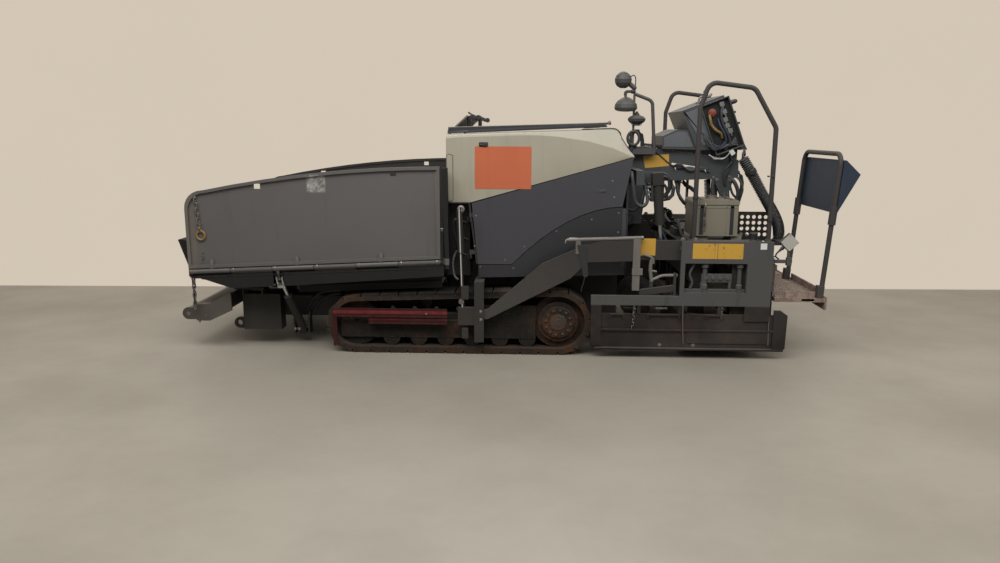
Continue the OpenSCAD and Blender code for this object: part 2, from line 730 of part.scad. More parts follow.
// Height of the lower edge of the cream panel
function cream_z(x) = cream_low[1]
    + (x - cream_low[0]) * (cream_rear[1] - cream_low[1]) / (cream_rear[0] - cream_low[0]);
function hood_outline(inset) =
    let (r = hood_corner_r - inset, xr = hood_rear_x, zr = hood_rear_z)
    concat([[hood_front_x - inset, cream_low[1] - inset * 2], [hood_front_x - inset, hood_front_z - inset]],
        [for (a = [90 : 15 : 180]) [xr + hood_corner_r + r * cos(a), zr - hood_corner_r + r * sin(a)]],
        [hood_shoulder + [inset, 0], cream_rear + [inset, -inset], cream_low + [0, -inset * 2]]);
module hood() {
    color("#d9d6cb")
    difference() {
        side_slab(-hood_y, hood_y, hood_outline(0));
        side_slab(-hood_y + hood_t, hood_y - hood_t, hood_outline(hood_t));
    }
}

// The swept line that divides the door from the skirt, from the front corner to the rear
sweep_low = [72, 659];
function sweep_z(x) = 659 + 425 * (1 - pow((x + 714) / 786, 1.9));
function sweep_line(drop) = [for (k = [0 : 8]) let (x = 72 - 786 * k / 8) [x, sweep_z(x) - drop]];
door_hinge = [372, hood_y - 12];
door_hinge_z = [731, 1000];
door_knuckle_r = 11;
door_pin_r = 7;
module door() {
    for (z = door_hinge_z) {
        block([290, door_hinge[1] - 8, z], [door_hinge[0], door_hinge[1] + 3, z + 30]);
        translate([door_hinge[0], door_hinge[1], z]) cylinder(h = 30, r = door_knuckle_r);
        translate([door_hinge[0], door_hinge[1], z - 31]) cylinder(h = 32, r = door_pin_r);
    }
    side_slab(hood_y - hood_t, hood_y, concat(
        [[cream_low[0] - 6, cream_low[1] - 8], [317, 659]],
        sweep_line(0),
        [[-716, 1084], [cream_rear[0] + 10, cream_z(cream_rear[0] + 10) - 6]]));
}
module door_left() { color("#4b4e57") door(); }
module door_right() { color("#4b4e57") mirror([0, 1, 0]) door(); }

module side_skirts() {
    color("#43464e") {
        both_sides() {
            side_slab(hood_y - hood_t, hood_y, concat(
                [[313, skirt_low_z], [313, 653]], sweep_line(6),
                [[skirt_rear_x, 1071], [skirt_rear_x, skirt_low_z + 30]]));
            // Recess beside the hood's front end
            block([hopper_back_x - 180, 700, skirt_low_z], [hood_front_x, 712, cream_low[1] - 24]);
            // Lugs that the doors' pins turn in
            for (z = door_hinge_z)
                difference() {
                    union() {
                        block([door_hinge[0], 701, z - 31], [door_hinge[0] + 26, door_hinge[1] + 4, z - seat]);
                        translate([door_hinge[0], door_hinge[1], z - 31])
                            cylinder(h = 31 - seat, r = door_knuckle_r);
                    }
                    translate([door_hinge[0], door_hinge[1], z - 40]) cylinder(h = 50, r = door_pin_r + fit);
                }
            // Bracket that holds the levelling cylinder's upper eye
            block([425, 711, 1060], [457, arm_in_y - 20, 1078]);
            // Inner edge plates that tie the skirt to the deck
            block([skirt_rear_x, beam_out_y, skirt_low_z + 40], [300, hood_y - hood_t + 1, skirt_low_z + 52]);
        }
        // Rear bulkhead, narrower where it stands between the doors, with its tie-down eyes
        block([skirt_rear_x - 12, -hood_y, deck_z], [skirt_rear_x, hood_y, 1060]);
        both_sides()
        difference() {
            tie_eye(skirt_rear_x - 6, eye_rear);
            cross_bar(eye_rear[0], eye_rear[2], eye_rear[1] - 1, eye_rear[1] + eye_t + 1, eye_bore_r);
        }
        block([skirt_rear_x - 12, -hood_y + hood_t + 6, 1059], [skirt_rear_x, hood_y - hood_t - 6, cream_z(skirt_rear_x) - seat]);
    }
}

lid_pin_r = 10;
lid_hinge = [528, hood_front_z + lid_pin_r + seat + 0.6];
module hood_lid() {
    z0 = hood_front_z + 1;
    color("#35363a") {
        side_slab(-hood_y + 60, hood_y - 60,
            [[530, z0 + 6], [530, z0 + 18], [-600, hood_rear_z + 46], [-600, hood_rear_z + 30]]);
        side_slab(-hood_y + 80, hood_y - 80,
            [[530, z0 + 14], [400, z0 + 132], [392, z0 + 124], [520, z0 + 10]]);
        both_sides()
        cross_bar(lid_hinge[0], lid_hinge[1], hood_y - 160, hood_y - 60, lid_pin_r);
    }
}

// Tow guides and levelling cylinders

module tow_guides() {
    color("#3b3d42")
        both_sides() {
            block([guide_front_x - plate_t, arm_in_y - 15, 104], [guide_front_x, half_w, 549]);
            block([guide_rear_x, arm_in_y - 15, 104], [guide_front_x, arm_in_y - 3, 549]);
            block([guide_rear_x, arm_out_y + 3, 104], [guide_front_x, half_w, 549]);
            block([guide_front_x - 1, arm_in_y - 10, 230], [455, half_w - 6, 360]);
            block([guide_rear_x, arm_in_y - 15, 530], [guide_front_x, half_w, 549]);
            cross_bar(tow[0], tow[1], arm_in_y - 14, half_w - 1, tow_pin_r);
        }
}

module levelling_cylinders() {
    y = arm_in_y + 8;
    color("#b5b7ba")
    both_sides() {
        rod([441, y, 1056], [432, y, 760], 22);
        rod([432, y, 762], [419, y, 360 + seat], 11);
        cross_bar(441, 1069, y - 28 + seat, y + 14, 12);
        rod([441, y, 1050], [441, y, 1069], 16);
    }
}

// Screed, towed by the arms at the tow points

module tow_arm() {
    difference() {
        union() {
            side_slab(arm_in_y, arm_out_y, [
                [tow[0] + 20, tow[1] - 26], [tow[0] + 20, tow[1] + 26], [237, 352], [-147, 685],
                [-378, 790], [-560, 850], [-838, 862], [-838, 712], [-465, 700], [-352, 583],
                [240, tow[1] - 24]]);
            // Rear part, set inwards beside the screed
            block([-1290, arm_in_y - 41, 715], [-560, arm_in_y - 20, 856]);
            block([-640, arm_in_y - 21, 716], [-562, arm_in_y + 1, 846]);
            // Grab tube on the arm's top edge, with its front support
            rod([-321, arm_in_y + 8, 856], [-847, arm_in_y + 8, 876], 13);
            block([-415, arm_in_y, 770], [-385, arm_out_y - 1, 858]);
            // Post that hangs from the arm's end, with its stub
            block([-838, arm_in_y, 499], [-790, arm_out_y, 713]);
            block([-858, arm_in_y + 2, 612], [-786, arm_out_y + 5, 656]);
            // Pin stub beside the lift cylinder's eye
            cross_bar(lift_eye[0], lift_eye[1], lift_y + 22 + seat, arm_in_y - 30, 14);
        }
        cross_bar(tow[0], tow[1], half_w - 100, half_w + 10, tow_pin_r + swing_fit);
    }
}
module tow_arms() {
    color("#55585d")
    both_sides() tow_arm();
}

// Lift cylinders between the tractor's rear and the arms
lift_y = arm_in_y - 101;
lift_top = [-955, 1290];
lift_eye = [-1000, 785];
module lift_barrels() {
    color("#3b3d42")
    both_sides() {
        d = unit(lift_eye - lift_top);
        difference() {
            rod([lift_top[0], lift_y, lift_top[1]],
                [lift_top[0] + d[0] * 335, lift_y, lift_top[1] + d[1] * 335], 34);
            rod([lift_top[0] + d[0] * 60, lift_y, lift_top[1] + d[1] * 60],
                [lift_top[0] + d[0] * 400, lift_y, lift_top[1] + d[1] * 400], 15 + fit);
        }
        cross_bar(lift_top[0], lift_top[1], lift_y - 62, lift_y - 37, 16);
        // Head block that holds the trunnion
        n = [d[1], -d[0]];
        side_slab(lift_y - 38, lift_y + 38, [lift_top - d * 36 + n * 38, lift_top + d * 50 + n * 38,
            lift_top + d * 50 - n * 38, lift_top - d * 36 - n * 38]);
    }
}
module lift_rods() {
    color("#c3c6ca")
    both_sides() {
        d = unit(lift_eye - lift_top);
        rod([lift_top[0] + d[0] * 205, lift_y, lift_top[1] + d[1] * 205],
            [lift_eye[0], lift_y, lift_eye[1]], 15);
        cross_bar(lift_eye[0], lift_eye[1], lift_y - 22, lift_y + 22, 26);
    }
}

module screed_main() {
    color("#55504a")
    difference() {
        union() {
            // Screed box with its tamper nose
            side_slab(-half_w + 45, half_w - 45, [
                [screed_front_x, sole_z + 40], [screed_front_x - 40, sole_z],
                [screed_rear_x, sole_z], [screed_rear_x, 300], [screed_front_x - 30, 330],
                [screed_front_x, 290]]);
            // Carrier beam over the box, and the posts between them
            block([carrier_x[0], -half_w + 75, carrier_z[0]], [carrier_x[1], half_w - 75, carrier_z[1]]);
            both_sides()
            for (y = [60, 420, half_w - 120])
                block([carrier_x[0] + 10, y, 290], [carrier_x[1] - 10, y + 40, carrier_z[0] + 1]);
            // Brackets to the arms
            both_sides()
            block([carrier_x[0] + 20, half_w - 130, carrier_z[1] - 1],
                  [carrier_x[1] - 20, arm_in_y - 41, carrier_z[1] + 60]);
            // Blocks that carry the guide tubes
            both_sides()
            block([guide_right_x - 70, 40, guide_z - 66], [carrier_x[0] + 1, 150, guide_z + 66]);
        }
        for (x = [guide_left_x, guide_right_x])
            cross_bar(x, guide_z, -half_w, half_w, guide_r + fit);
    }
}

// Guard plate with rows of eight-sided holes
hole_pitch = 44;
module perforated_plate() {
    difference() {
        block([-1870, 436, 812], [-1632, 442, 1020]);
        for (i = [0 : 4], k = [0 : 3])
            translate([-1664 - i * hole_pitch, 440, 848 + k * hole_pitch])
            rotate([90, 0, 0])
            linear_extrude(20, center = true)
            polygon([for (a = [0 : 45 : 315]) 15 * [cos(a + 22.5), sin(a + 22.5)]]);
    }
}

// Deck over the screed
module screed_deck() {
    color("#4a4b4d") {
        block([ext_rear_x, -half_w + 130, 800], [-1170, half_w - 130, 812]);
        // Shelf under the conduit's end
        block([-1930, 590, 800], [ext_rear_x + 1, 690, 812]);
        both_sides()
        block([-1875, 420, 800], [ext_rear_x + 1, 450, 812]);
        both_sides() {
            block([carrier_x[0] + 30, 300, carrier_z[1]], [carrier_x[1] - 30, 340, 800]);
            perforated_plate();
        }
    }
}

module tank() {
    color("#8f8c84") {
        block([-1585, 330, 856], [-1257, 620, 1087]);
        side_slab(324, 626, [[-1591, 1086], [-1591, 1107], [-1577, 1121],
            [-1265, 1121], [-1251, 1107], [-1251, 1086]]);
        for (x = [-1624, -1375])
            block([x, 360, 812], [x + 76, 600, 857]);
    }
}

// Guard rails on both sides of the deck
module handrails() {
    color("#3e4046")
    for (side = [1, -1])
        translate([0, side * 700, 0])
        rotate([90, 0, 0])
        bent_tube([[-1251, 812], [-1251, 1776], [-1310, rail_top_z], [-1625, rail_top_z - 40],
            [-1790, 1640], [-1790, 812]], rail_r, 70);
}

// Thick corrugated conduit from the console's end down to the screed
conduit_route = [
    [-1880, 640, 812.4], [-1880, 640, 848], [-1890, 628, 892], [-1901, 596, 945], [-1900, 548, 1005],
    [-1880, 496, 1068], [-1842, 462, 1138], [-1790, 450, 1210], [-1725, 450, 1310], [-1662, 450, 1405]];
module conduit() {
    color("#26262a") hose(conduit_route, 42);
}

// Console carrier: swan-neck beam from the rear bulkhead, with its bracket
function beam_top(x) = 1495 - (-933 - x) * 95 / 728;
module console_carrier() {
    color("#3f444c")
    difference() {
        union() {
            side_slab(-150, 250, [
                [skirt_rear_x - 12, 900], [skirt_rear_x - 12, 1410], [-800, 1424], [-800, 1490],
                [-933, beam_top(-933)], [-1661, beam_top(-1661)],
                [-1668, 1262], [-1100, 1235], [-960, 1160], [-930, 900]]);
            // Cross tube that carries the lift cylinders
            block([-860, -lift_y - 30, 1240], [-805, lift_y + 30, 1340]);
            both_sides()
            block([lift_top[0] - 30, lift_y - 64, 1250], [-859, lift_y - 44, 1330]);
            // Triangular bracket under the beam's end
            side_slab(200, 250, [[-1469, 1270], [-1637, 1270], [-1585, 1085], [-1560, 1085]]);
            // Valve block and hanger that hold hose ends
            block(valve_block[0], valve_block[1]);
            block([hanger_x, 110, 1010], [hanger_x + 16, 140, 1246]);
            block([hanger_x, 139, 1010], [hanger_x + 16, 182, 1054]);
        }
        side_slab(-160, 260, [[-1150, 1345], [-1440, 1300], [-1440, 1330], [-1150, 1375]]);
        both_sides()
        cross_bar(lift_top[0], lift_top[1], lift_y - 70, lift_y + 40, 16 + swing_fit);
    }
}

module console() {
    color("#4c4f57") {
        side_slab(-300, 300, [[-1328, 1474], [-1200, 1764], [-1508, 1883], [-1669, 1476]]);
        side_slab(-250, 290, [[-1066, 1481], [-1066, 1578], [-1180, 1628], [-1262, 1620], [-1326, 1476]]);
        side_slab(-140, 240, [[-1650, 1482], [-1650, beam_top(-1650) + seat],
            [-1100, beam_top(-1100) + seat], [-1100, 1482]]);
        side_slab(150, 200, [[-1610, 1630], [-1643, 1647], [-1737, 1476], [-1660, 1476]]);
        rod([-1420, 60, 1800], [-1420, 60, 1925], 14);
    }
}

// Hoses of the beam, each held at both ends against steel; ends under the beam sit on its slope
function beam_low(x) = 1235 - (x + 1100) * 27 / 568;
function under_beam(x) = [x, beam_low(x) - 1.2];
hose_behind_y = 165;
hose_front_y = 292;
valve_block = [[-1075, 249, 1080], [-990, 335, 1245]];
hanger_x = -1312;
beam_hose_routes = [
    [hose_front_y, [[-1020, valve_block[1][2] + seat], [-1020, 1268], [-1040, 1290], [-1072, 1298],
        [-1110, 1284], [-1145, 1245], [-1166, 1185], [-1160, 1130], [-1134, 1103], [-1102, 1096],
        [valve_block[0][0] - seat, 1096]]],
    [hose_behind_y, [under_beam(-1262), [-1262, 1224], [-1285, 1196], [-1325, 1176], [-1358, 1148],
        [-1374, 1110], [-1370, 1068], [-1352, 1042], [-1332, 1032], [hanger_x - seat, 1032]]],
    [hose_behind_y, [under_beam(-1462), [-1462, 1180], [-1470, 1100], [-1490, 1048], [-1517, 1030],
        [-1544, 1048], [-1562, 1100], [-1570, 1180], under_beam(-1570)]],
    [hose_behind_y, [under_beam(-1612), [-1612, 1180], [-1614, 1110], [-1632, 1064], [-1668, 1045],
        [-1702, 1070], [-1720, 1140], [-1722, 1220], [-1708, 1276], [-1690, 1300], [-1667.3, 1300]]],
    [hose_behind_y, [[-842, 1492.5], [-842, 1540], [-847, 1588], [-868, 1614], [-898, 1614],
        [-920, 1588], [-930, 1540], [-930, 1496]]]];
module beam_hoses() {
    color("#1e1e20")
    for (route = beam_hose_routes)
        hose([for (p = route[1]) [p[0], route[0], p[1]]], 15);
}

// Mast with the work lamps, and the bent guard tube beside it
module lamp_mast() {
    y = 300;
    color("#45433f") {
        block([-846, y - 7, 1430], [-830, y + 7, 1940]);
        rod([-838, y, 1932], [-770, y, 1985], 18);
        // Head lamp, bell lamp and bowl lamp: station, then rings of height and radius
        for (lamp = [[-750, [[1932, 22], [1946, 46], [1968, 60], [1996, 64], [2022, 55], [2042, 34], [2052, 14]]],
                     [-776, [[1770, 80], [1786, 86], [1812, 82], [1838, 64], [1858, 34], [1866, 14]]],
                     [-861, [[1660, 16], [1668, 40], [1686, 62], [1706, 68], [1722, 52], [1734, 22]]]])
            for (k = [0 : len(lamp[1]) - 2])
                translate([lamp[0], y, lamp[1][k][0]])
                cylinder(h = lamp[1][k + 1][0] - lamp[1][k][0], r1 = lamp[1][k][1], r2 = lamp[1][k + 1][1]);
        translate([0, y, 0]) rotate([90, 0, 0]) {
            bent_tube([[-838, 1912], [-758, 1908], [-774, 1858]], 8, 20);
            bent_tube([[-838, 1890], [-975, 1838], [-1002, 1480]], 13, 50);
        }
        block([-1010, y - 50, 1440], [-830, y + 20, 1480]);
    }
}

// Augers behind the tunnel
auger_x = -900;
auger_z = 345;
auger_shaft_r = 38;
module auger_drive() {
    color("#3a3c40") {
        block([auger_x - 60, -50, auger_z - 110], [auger_x + 60, 50, deck_z - 60]);
        block([auger_x - 60, -50, deck_z - 100], [chassis_rear_x + 60, 50, deck_z - plate_t - seat]);
        cross_bar(auger_x, auger_z, -86, 86, 30);
    }
}
module auger() {
    difference() {
        union() {
            cross_bar(auger_x, auger_z, 62, half_w - 110, auger_shaft_r);
            translate([auger_x, half_w - 120, auger_z])
            rotate([90, 0, 0])
            linear_extrude(height = half_w - 220, twist = 360 * 2.5, slices = 44)
            polygon([[auger_shaft_r - 6, -9], [auger_d / 2, -9], [auger_d / 2, 9], [auger_shaft_r - 6, 9]]);
        }
        cross_bar(auger_x, auger_z, 40, 86 + 4, 30 + fit);
    }
}
module auger_left() { color("#6b6259") auger(); }
module auger_right() { color("#6b6259") mirror([0, 1, 0]) auger(); }

// Extension screeds with their guide tubes

module extension(tube_x) {
    side_slab(ext_in_y, ext_out_y, [
        [ext_front_x, sole_z + 30], [ext_front_x - 30, sole_z], [ext_rear_x, sole_z],
        [ext_rear_x, 320], [ext_front_x, 320]]);
    block([ext_rear_x, ext_out_y - 90, 319], [ext_front_x, ext_out_y, guide_z + 60]);
    cross_bar(tube_x, guide_z, 105 - extension_travel - 70, ext_out_y - 1, guide_r);
}
module extension_left() { color("#4d4a47") extension(guide_left_x); }
module extension_right() { color("#4d4a47") mirror([0, 1, 0]) extension(guide_right_x); }

// End gate: housing plate with its window and toothed rear edge, flange, and the long side plate
skin_y = half_w - 11;
tooth = 16;
module end_gate() {
    difference() {
        side_slab(gate_y, half_w, concat(
            [[-1125, 393], [-1125, house_top_z], [-1765, house_top_z], [-1765, 760]],
            [for (k = [0 : 11]) each [[-1778, 760 - k * tooth - 4], [-1765, 760 - (k + 1) * tooth + 2]]],
            [[-1765, 285], [-1590, 285], [-1590, 393]]));
        side_slab(gate_y - 1, half_w + 1, [[-1155, 489], [-1155, 700], [-1590, 700], [-1590, 489]]);
    }
    // Side plate with a rolled lower edge, end posts, ledge and rungs
    side_slab(gate_y, skin_y, [[-503, 90], [-530, 62], [-1880, 62], [-1893, 90], [-1895, 330], [-503, 330]]);
    cross_bar_x(-1880, -530, half_w - 11, 72, 11);
    block([-575, gate_y, 95], [-503, half_w, 393]);
    side_slab(gate_y, half_w, [[-1800, 84], [-1800, 364], [-1847, 364], [-1895, 330], [-1890, 84]]);
    block([-1801, skin_y - 1, 205], [-574, half_w, 217]);
    block([-1790, skin_y - 1, 117], [-1194, half_w - 5, 206]);
    for (rung = [[-735, -640], [-1130, -910], [-1435, -1325]]) {
        block([rung[0], skin_y - 1, 318], [rung[1], half_w, 329]);
        for (x = rung) block([x - 6, skin_y - 1, 300], [x + 6, half_w, 329]);
    }
    block([-1591, gate_y - 6, 392], [-500, half_w, 462]);
    for (x = [-830, -1120, -1400])
        block([x - 24, gate_y, 329], [x, half_w - 4, 393]);
    block([ext_rear_x, ext_out_y, 500], [ext_front_x - 95, gate_y + 1, 690]);
    block([-1600, gate_y - 16, house_top_z - 60], [-1200, gate_y + 1, house_top_z]);
}
// Arm behind the left gate with its junction box, turned by 45 degrees
module junction_arm() {
    block([-1900, gate_y - 6, 706], [-1764, gate_y + 10, 730]);
    block([-1895, gate_y - 14, 690], [-1862, gate_y + 18, 745]);
    translate([-1876, gate_y - 34, 852])
    rotate([0, 45, 0])
    translate([-46, 0, -46])
    cube([92, 40, 92]);
    block([-1886, gate_y - 8, 740], [-1866, gate_y + 2, 800]);
}
module end_gate_left() {
    color("#4c4b4a") {
        end_gate();
        junction_arm();
    }
}
module end_gate_right() { color("#4c4b4a") mirror([0, 1, 0]) end_gate(); }

// Rear walkways
module walkway() {
    block([-2160, 20, 425], [-1800 - 2, half_w - 24, 455]);
    block([-2169, 20, 370], [-2155, half_w - 24, 462]);
    block([ext_rear_x - 12, 40, 300], [ext_rear_x, half_w - 80, 455]);
    // Kick plate along the rear edge, and the toe plate at the gate's side
    block([-2160, 190, 454], [-2148, half_w - 120, 505]);
    block([-2085, half_w - 40, 454], [-1870, half_w - 30, 500]);
}
module walkway_left() { color("#5c4f44") walkway(); }
module walkway_right() { color("#5c4f44") mirror([0, 1, 0]) walkway(); }

// Rail across the left walkway with its wedge-shaped cover
module rear_rail() {
    translate([rear_rail_x, 0, 456.4])
    rotate([0, -rail_lean, 0]) {
        color("#4a4644") {
            rotate([90, 0, 90])
            bent_tube([[rail_near_y, 0], [rail_near_y, 1010], [rail_far_y, 1010], [rail_far_y, 0]],
                rail_r, 80);
            for (y = [rail_near_y, rail_far_y]) {
                translate([0, y, 520]) cylinder(h = 130, r = rail_r + 9);
                block([-rail_r + 6, y - 26, 0], [34, y + 26, 84]);
            }
        }
        color("#14161d")
        side_slab(rail_far_y - rail_r, rail_near_y + rail_r, [
            [-rail_r - seat, 600], [-rail_r - seat, 968], [-rail_r - 14, 970],
            [-cover_deep, cover_tip_up]]);
    }
}

machine_frame() chassis();
machine_frame() hopper();
machine_frame() conveyor();
machine_frame() engine();
machine_frame() side_skirts();
machine_frame() hood();
machine_frame() door_left();
machine_frame() door_right();
machine_frame() hood_lid();
machine_frame() track_left();
machine_frame() track_right();
machine_frame() undercarriage_left();
machine_frame() undercarriage_right();
machine_frame() guard_bars();
machine_frame() tow_guides();
machine_frame() levelling_cylinders();
machine_frame() console_carrier();
machine_frame() beam_hoses();
machine_frame() console();
machine_frame() lamp_mast();
machine_frame() auger_drive();
machine_frame() auger_left();
machine_frame() auger_right();
machine_frame() wing_left();
machine_frame() wing_right();
machine_frame() wing_barrel_left();
machine_frame() wing_barrel_right();
machine_frame() wing_rod_left();
machine_frame() wing_rod_right();
machine_frame() apron();
machine_frame() push_beam();
machine_frame() push_roller_left();
machine_frame() push_roller_right();
machine_frame() tow_arms();
machine_frame() lift_barrels();
machine_frame() lift_rods();
machine_frame() screed_main();
machine_frame() screed_deck();
machine_frame() tank();
machine_frame() handrails();
machine_frame() conduit();
machine_frame() extension_left();
machine_frame() extension_right();
machine_frame() end_gate_left();
machine_frame() end_gate_right();
machine_frame() walkway_left();
machine_frame() walkway_right();
machine_frame() rear_rail();
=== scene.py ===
"""Finish and small parts of a compact tracked asphalt paver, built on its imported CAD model."""
import math

import bmesh
import bpy
from mathutils import Matrix, Vector


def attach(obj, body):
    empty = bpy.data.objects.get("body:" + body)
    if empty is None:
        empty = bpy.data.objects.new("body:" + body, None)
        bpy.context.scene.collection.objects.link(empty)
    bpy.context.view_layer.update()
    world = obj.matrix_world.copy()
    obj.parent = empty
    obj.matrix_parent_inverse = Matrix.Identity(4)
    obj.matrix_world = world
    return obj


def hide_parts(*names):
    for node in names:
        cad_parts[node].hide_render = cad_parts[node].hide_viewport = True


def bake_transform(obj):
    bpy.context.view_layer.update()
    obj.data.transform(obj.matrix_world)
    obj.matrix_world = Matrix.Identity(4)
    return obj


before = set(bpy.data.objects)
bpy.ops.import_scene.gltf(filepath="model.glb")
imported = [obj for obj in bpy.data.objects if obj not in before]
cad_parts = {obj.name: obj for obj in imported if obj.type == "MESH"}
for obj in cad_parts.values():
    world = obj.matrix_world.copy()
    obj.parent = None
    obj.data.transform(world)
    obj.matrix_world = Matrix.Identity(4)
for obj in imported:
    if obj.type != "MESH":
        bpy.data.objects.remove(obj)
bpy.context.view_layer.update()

# CAD stations are measured from a point 88 mm behind the origin of this frame
STATION = 0.088


def at(x, y, z):
    """A point given in millimetres along the machine's stations, in metres of this frame."""
    return Vector((x / 1000 - STATION, y / 1000, z / 1000))


# Shader values

class Value:
    """One output of a material's node tree; arithmetic on it adds the Math nodes."""

    def __init__(self, finish, socket):
        self.finish = finish
        self.socket = socket

    def sum(self, operation, first, second):
        return self.finish.node("Math", {"operation": operation}, _0=first, _1=second)

    def __add__(self, other):
        return self.sum("ADD", self, other)

    def __sub__(self, other):
        return self.sum("SUBTRACT", self, other)

    def __mul__(self, other):
        return self.sum("MULTIPLY", self, other)

    def __rsub__(self, other):
        return self.sum("SUBTRACT", other, self)

    def least(self, other):
        return self.sum("MINIMUM", self, other)

    def most(self, other):
        return self.sum("MAXIMUM", self, other)

    def band(self, low, high):
        """0 below low, 1 above high, smooth between; low may be the larger one."""
        return self.finish.node("MapRange", {"interpolation_type": "SMOOTHSTEP"}, Value=self,
                                From_Min=low, From_Max=high)


class Finish:
    """A procedural material with one Principled shader."""

    made = {}

    def __init__(self, name, rough=0.6, metal=0.0, shine=0.5):
        self.material = bpy.data.materials.new(name)
        self.material.use_nodes = True
        self.tree = self.material.node_tree
        self.tree.nodes.clear()
        self.shader = self.tree.nodes.new("ShaderNodeBsdfPrincipled")
        self.output = self.tree.nodes.new("ShaderNodeOutputMaterial")
        self.tree.links.new(self.shader.outputs[0], self.output.inputs["Surface"])
        self.shader.inputs["Roughness"].default_value = rough
        self.shader.inputs["Metallic"].default_value = metal
        self.shader.inputs["Specular IOR Level"].default_value = shine
        Finish.made[name] = self

    def put(self, socket, value):
        """Links a value to a socket, or sets the socket itself."""
        if isinstance(value, Value):
            self.tree.links.new(value.socket, socket)
        else:
            socket.default_value = (*value, 1) if socket.type == "RGBA" else value

    def node(self, kind, settings=None, out=0, **inputs):
        """Adds a node: its settings first, then its sockets, by name or as _ and their number."""
        made = self.tree.nodes.new("ShaderNode" + kind)
        for key, value in (settings or {}).items():
            setattr(made, key, value)
        for key, value in inputs.items():
            self.put(made.inputs[int(key[1:]) if key[0] == "_" else key.replace("_", " ")], value)
        return Value(self, made.outputs[out])

    def set(self, **inputs):
        for key, value in inputs.items():
            self.put(self.shader.inputs[key.replace("_", " ")], value)

    def place(self):
        return self.node("TexCoord", out="Object")

    def stretched(self, x, y, z):
        return self.node("VectorMath", {"operation": "MULTIPLY"}, _0=self.place(), _1=(x, y, z))

    def cloud(self, scale, detail=4, rough=0.55, where=None):
        return self.node("TexNoise", Vector=where or self.place(), Scale=scale, Detail=detail,
                         Roughness=rough)

    def along(self, axis):
        """The place along X, Y or Z, in metres."""
        return self.node("SeparateXYZ", out=axis, Vector=self.place())

    def height(self):
        return self.along("Z")

    def patch(self, low, high, soft=0.0006):
        """1 inside a box given by its corners in stations, 0 outside."""
        mask = None
        for axis, first, last in zip("XYZ", at(*low), at(*high)):
            place = self.along(axis)
            inside = place.band(first - soft, first) * place.band(last + soft, last)
            mask = inside if mask is None else mask * inside
        return mask

    def facing_up(self):
        return self.node("SeparateXYZ", out="Z", Vector=self.node("NewGeometry", out="Normal"))

    def mix(self, share, first, second):
        return self.node("Mix", {"data_type": "RGBA"}, out=2, _0=share, _6=first, _7=second)

    def edge(self, radius=0.006):
        """About 1 on sharp edges and 0 on flat stretches."""
        soft = self.node("Bevel", {"samples": 4}, Radius=radius)
        hard = self.node("NewGeometry", out="Normal")
        along = self.node("VectorMath", {"operation": "DOT_PRODUCT"}, out="Value", _0=soft, _1=hard)
        return (1 - along).band(0.02, 0.25)

    def bumps(self, height, strength, distance):
        self.set(Normal=self.node("Bump", Height=height, Strength=strength, Distance=distance))


DUST = (0.23, 0.20, 0.165)
RUST = (0.12, 0.045, 0.018)
GRIME = (0.018, 0.016, 0.014)


def with_areas(f, tone, areas):
    """The tone with a finish's own areas on it: masks, each with its colour."""
    for mask, area_colour in areas(f) if areas else ():
        tone = f.mix(mask, tone, area_colour)
    return tone


def paint(name, colour, rough, dust, wear, grime, bare=(0.10, 0.085, 0.07), areas=None, shine=0.5):
    """Old machine paint: clouded colour, dust on top, runs of grime, chips at the edges."""
    f = Finish(name, shine=shine)
    broad = f.cloud(1.7, 3)
    fine = f.cloud(38, 5, 0.65)
    runs = f.cloud(1.0, 4, 0.6, f.stretched(16, 16, 1.4))
    tone = f.mix(broad.band(0.3, 0.75) * 0.5, colour, [c * 0.72 for c in colour])
    tone = with_areas(f, tone, areas)
    tone = f.mix(runs.band(0.55, 0.8) * grime, tone, GRIME)
    settled = (f.facing_up().band(0.35, 0.95) + broad.band(0.45, 0.8) * 0.35) * (fine * 0.9 + 0.45)
    low = f.height().band(0.9, 0.1) * broad.band(0.3, 0.7) * 0.6
    tone = f.mix(((settled + low) * dust).least(0.85), tone, DUST)
    chips = (f.edge() * fine.band(0.42, 0.62)).most(f.cloud(9, 6, 0.7).band(0.70, 0.74)) * wear
    tone = f.mix(chips.least(1.0), tone, bare)
    f.set(Base_Color=tone, Roughness=(settled * dust * 0.6 + fine * 0.18 + rough - 0.08).least(0.95))
    f.bumps(fine * 0.5 + chips * -0.6, 0.25, 0.0015)


def bare_steel(name, colour, rough, rust):
    f = Finish(name, rough, 1.0)
    broad = f.cloud(6, 4)
    fine = f.cloud(90, 4, 0.6)
    spots = (broad.band(0.5, 0.72) * fine.band(0.35, 0.6)) * rust
    tone = f.mix(fine * 0.4, colour, [c * 0.6 for c in colour])
    f.set(Base_Color=f.mix(spots.least(1.0), tone, RUST), Roughness=fine * 0.2 + rough + spots * 0.4,
          Metallic=1 - spots.least(0.9))
    f.bumps(fine, 0.12, 0.0008)


def caked_steel(name, colour, rust, crust=0.6, dust=0.22, areas=None):
    """Steel under baked-on mix: brown-grey crust, rust between, dusty tops."""
    f = Finish(name, shine=0.2)
    broad = f.cloud(3.1, 4)
    lumps = f.cloud(26, 6, 0.7)
    grit = f.cloud(150, 3, 0.6)
    tone = f.mix(lumps.band(0.3, 0.7), colour, [c * 0.55 for c in colour])
    tone = f.mix(broad.band(0.48, 0.66) * lumps.band(0.4, 0.6) * rust, tone, RUST)
    tone = with_areas(f, tone, areas)
    tone = f.mix(f.facing_up().band(0.3, 0.95) * (grit + 0.35) * dust, tone, DUST)
    tone = f.mix(f.edge(0.005) * grit.band(0.4, 0.6) * 0.5, tone, (0.17, 0.155, 0.14))
    f.set(Base_Color=tone, Roughness=grit * 0.15 + 0.77)
    f.bumps(lumps * crust + grit * 0.25, 0.5, 0.004)


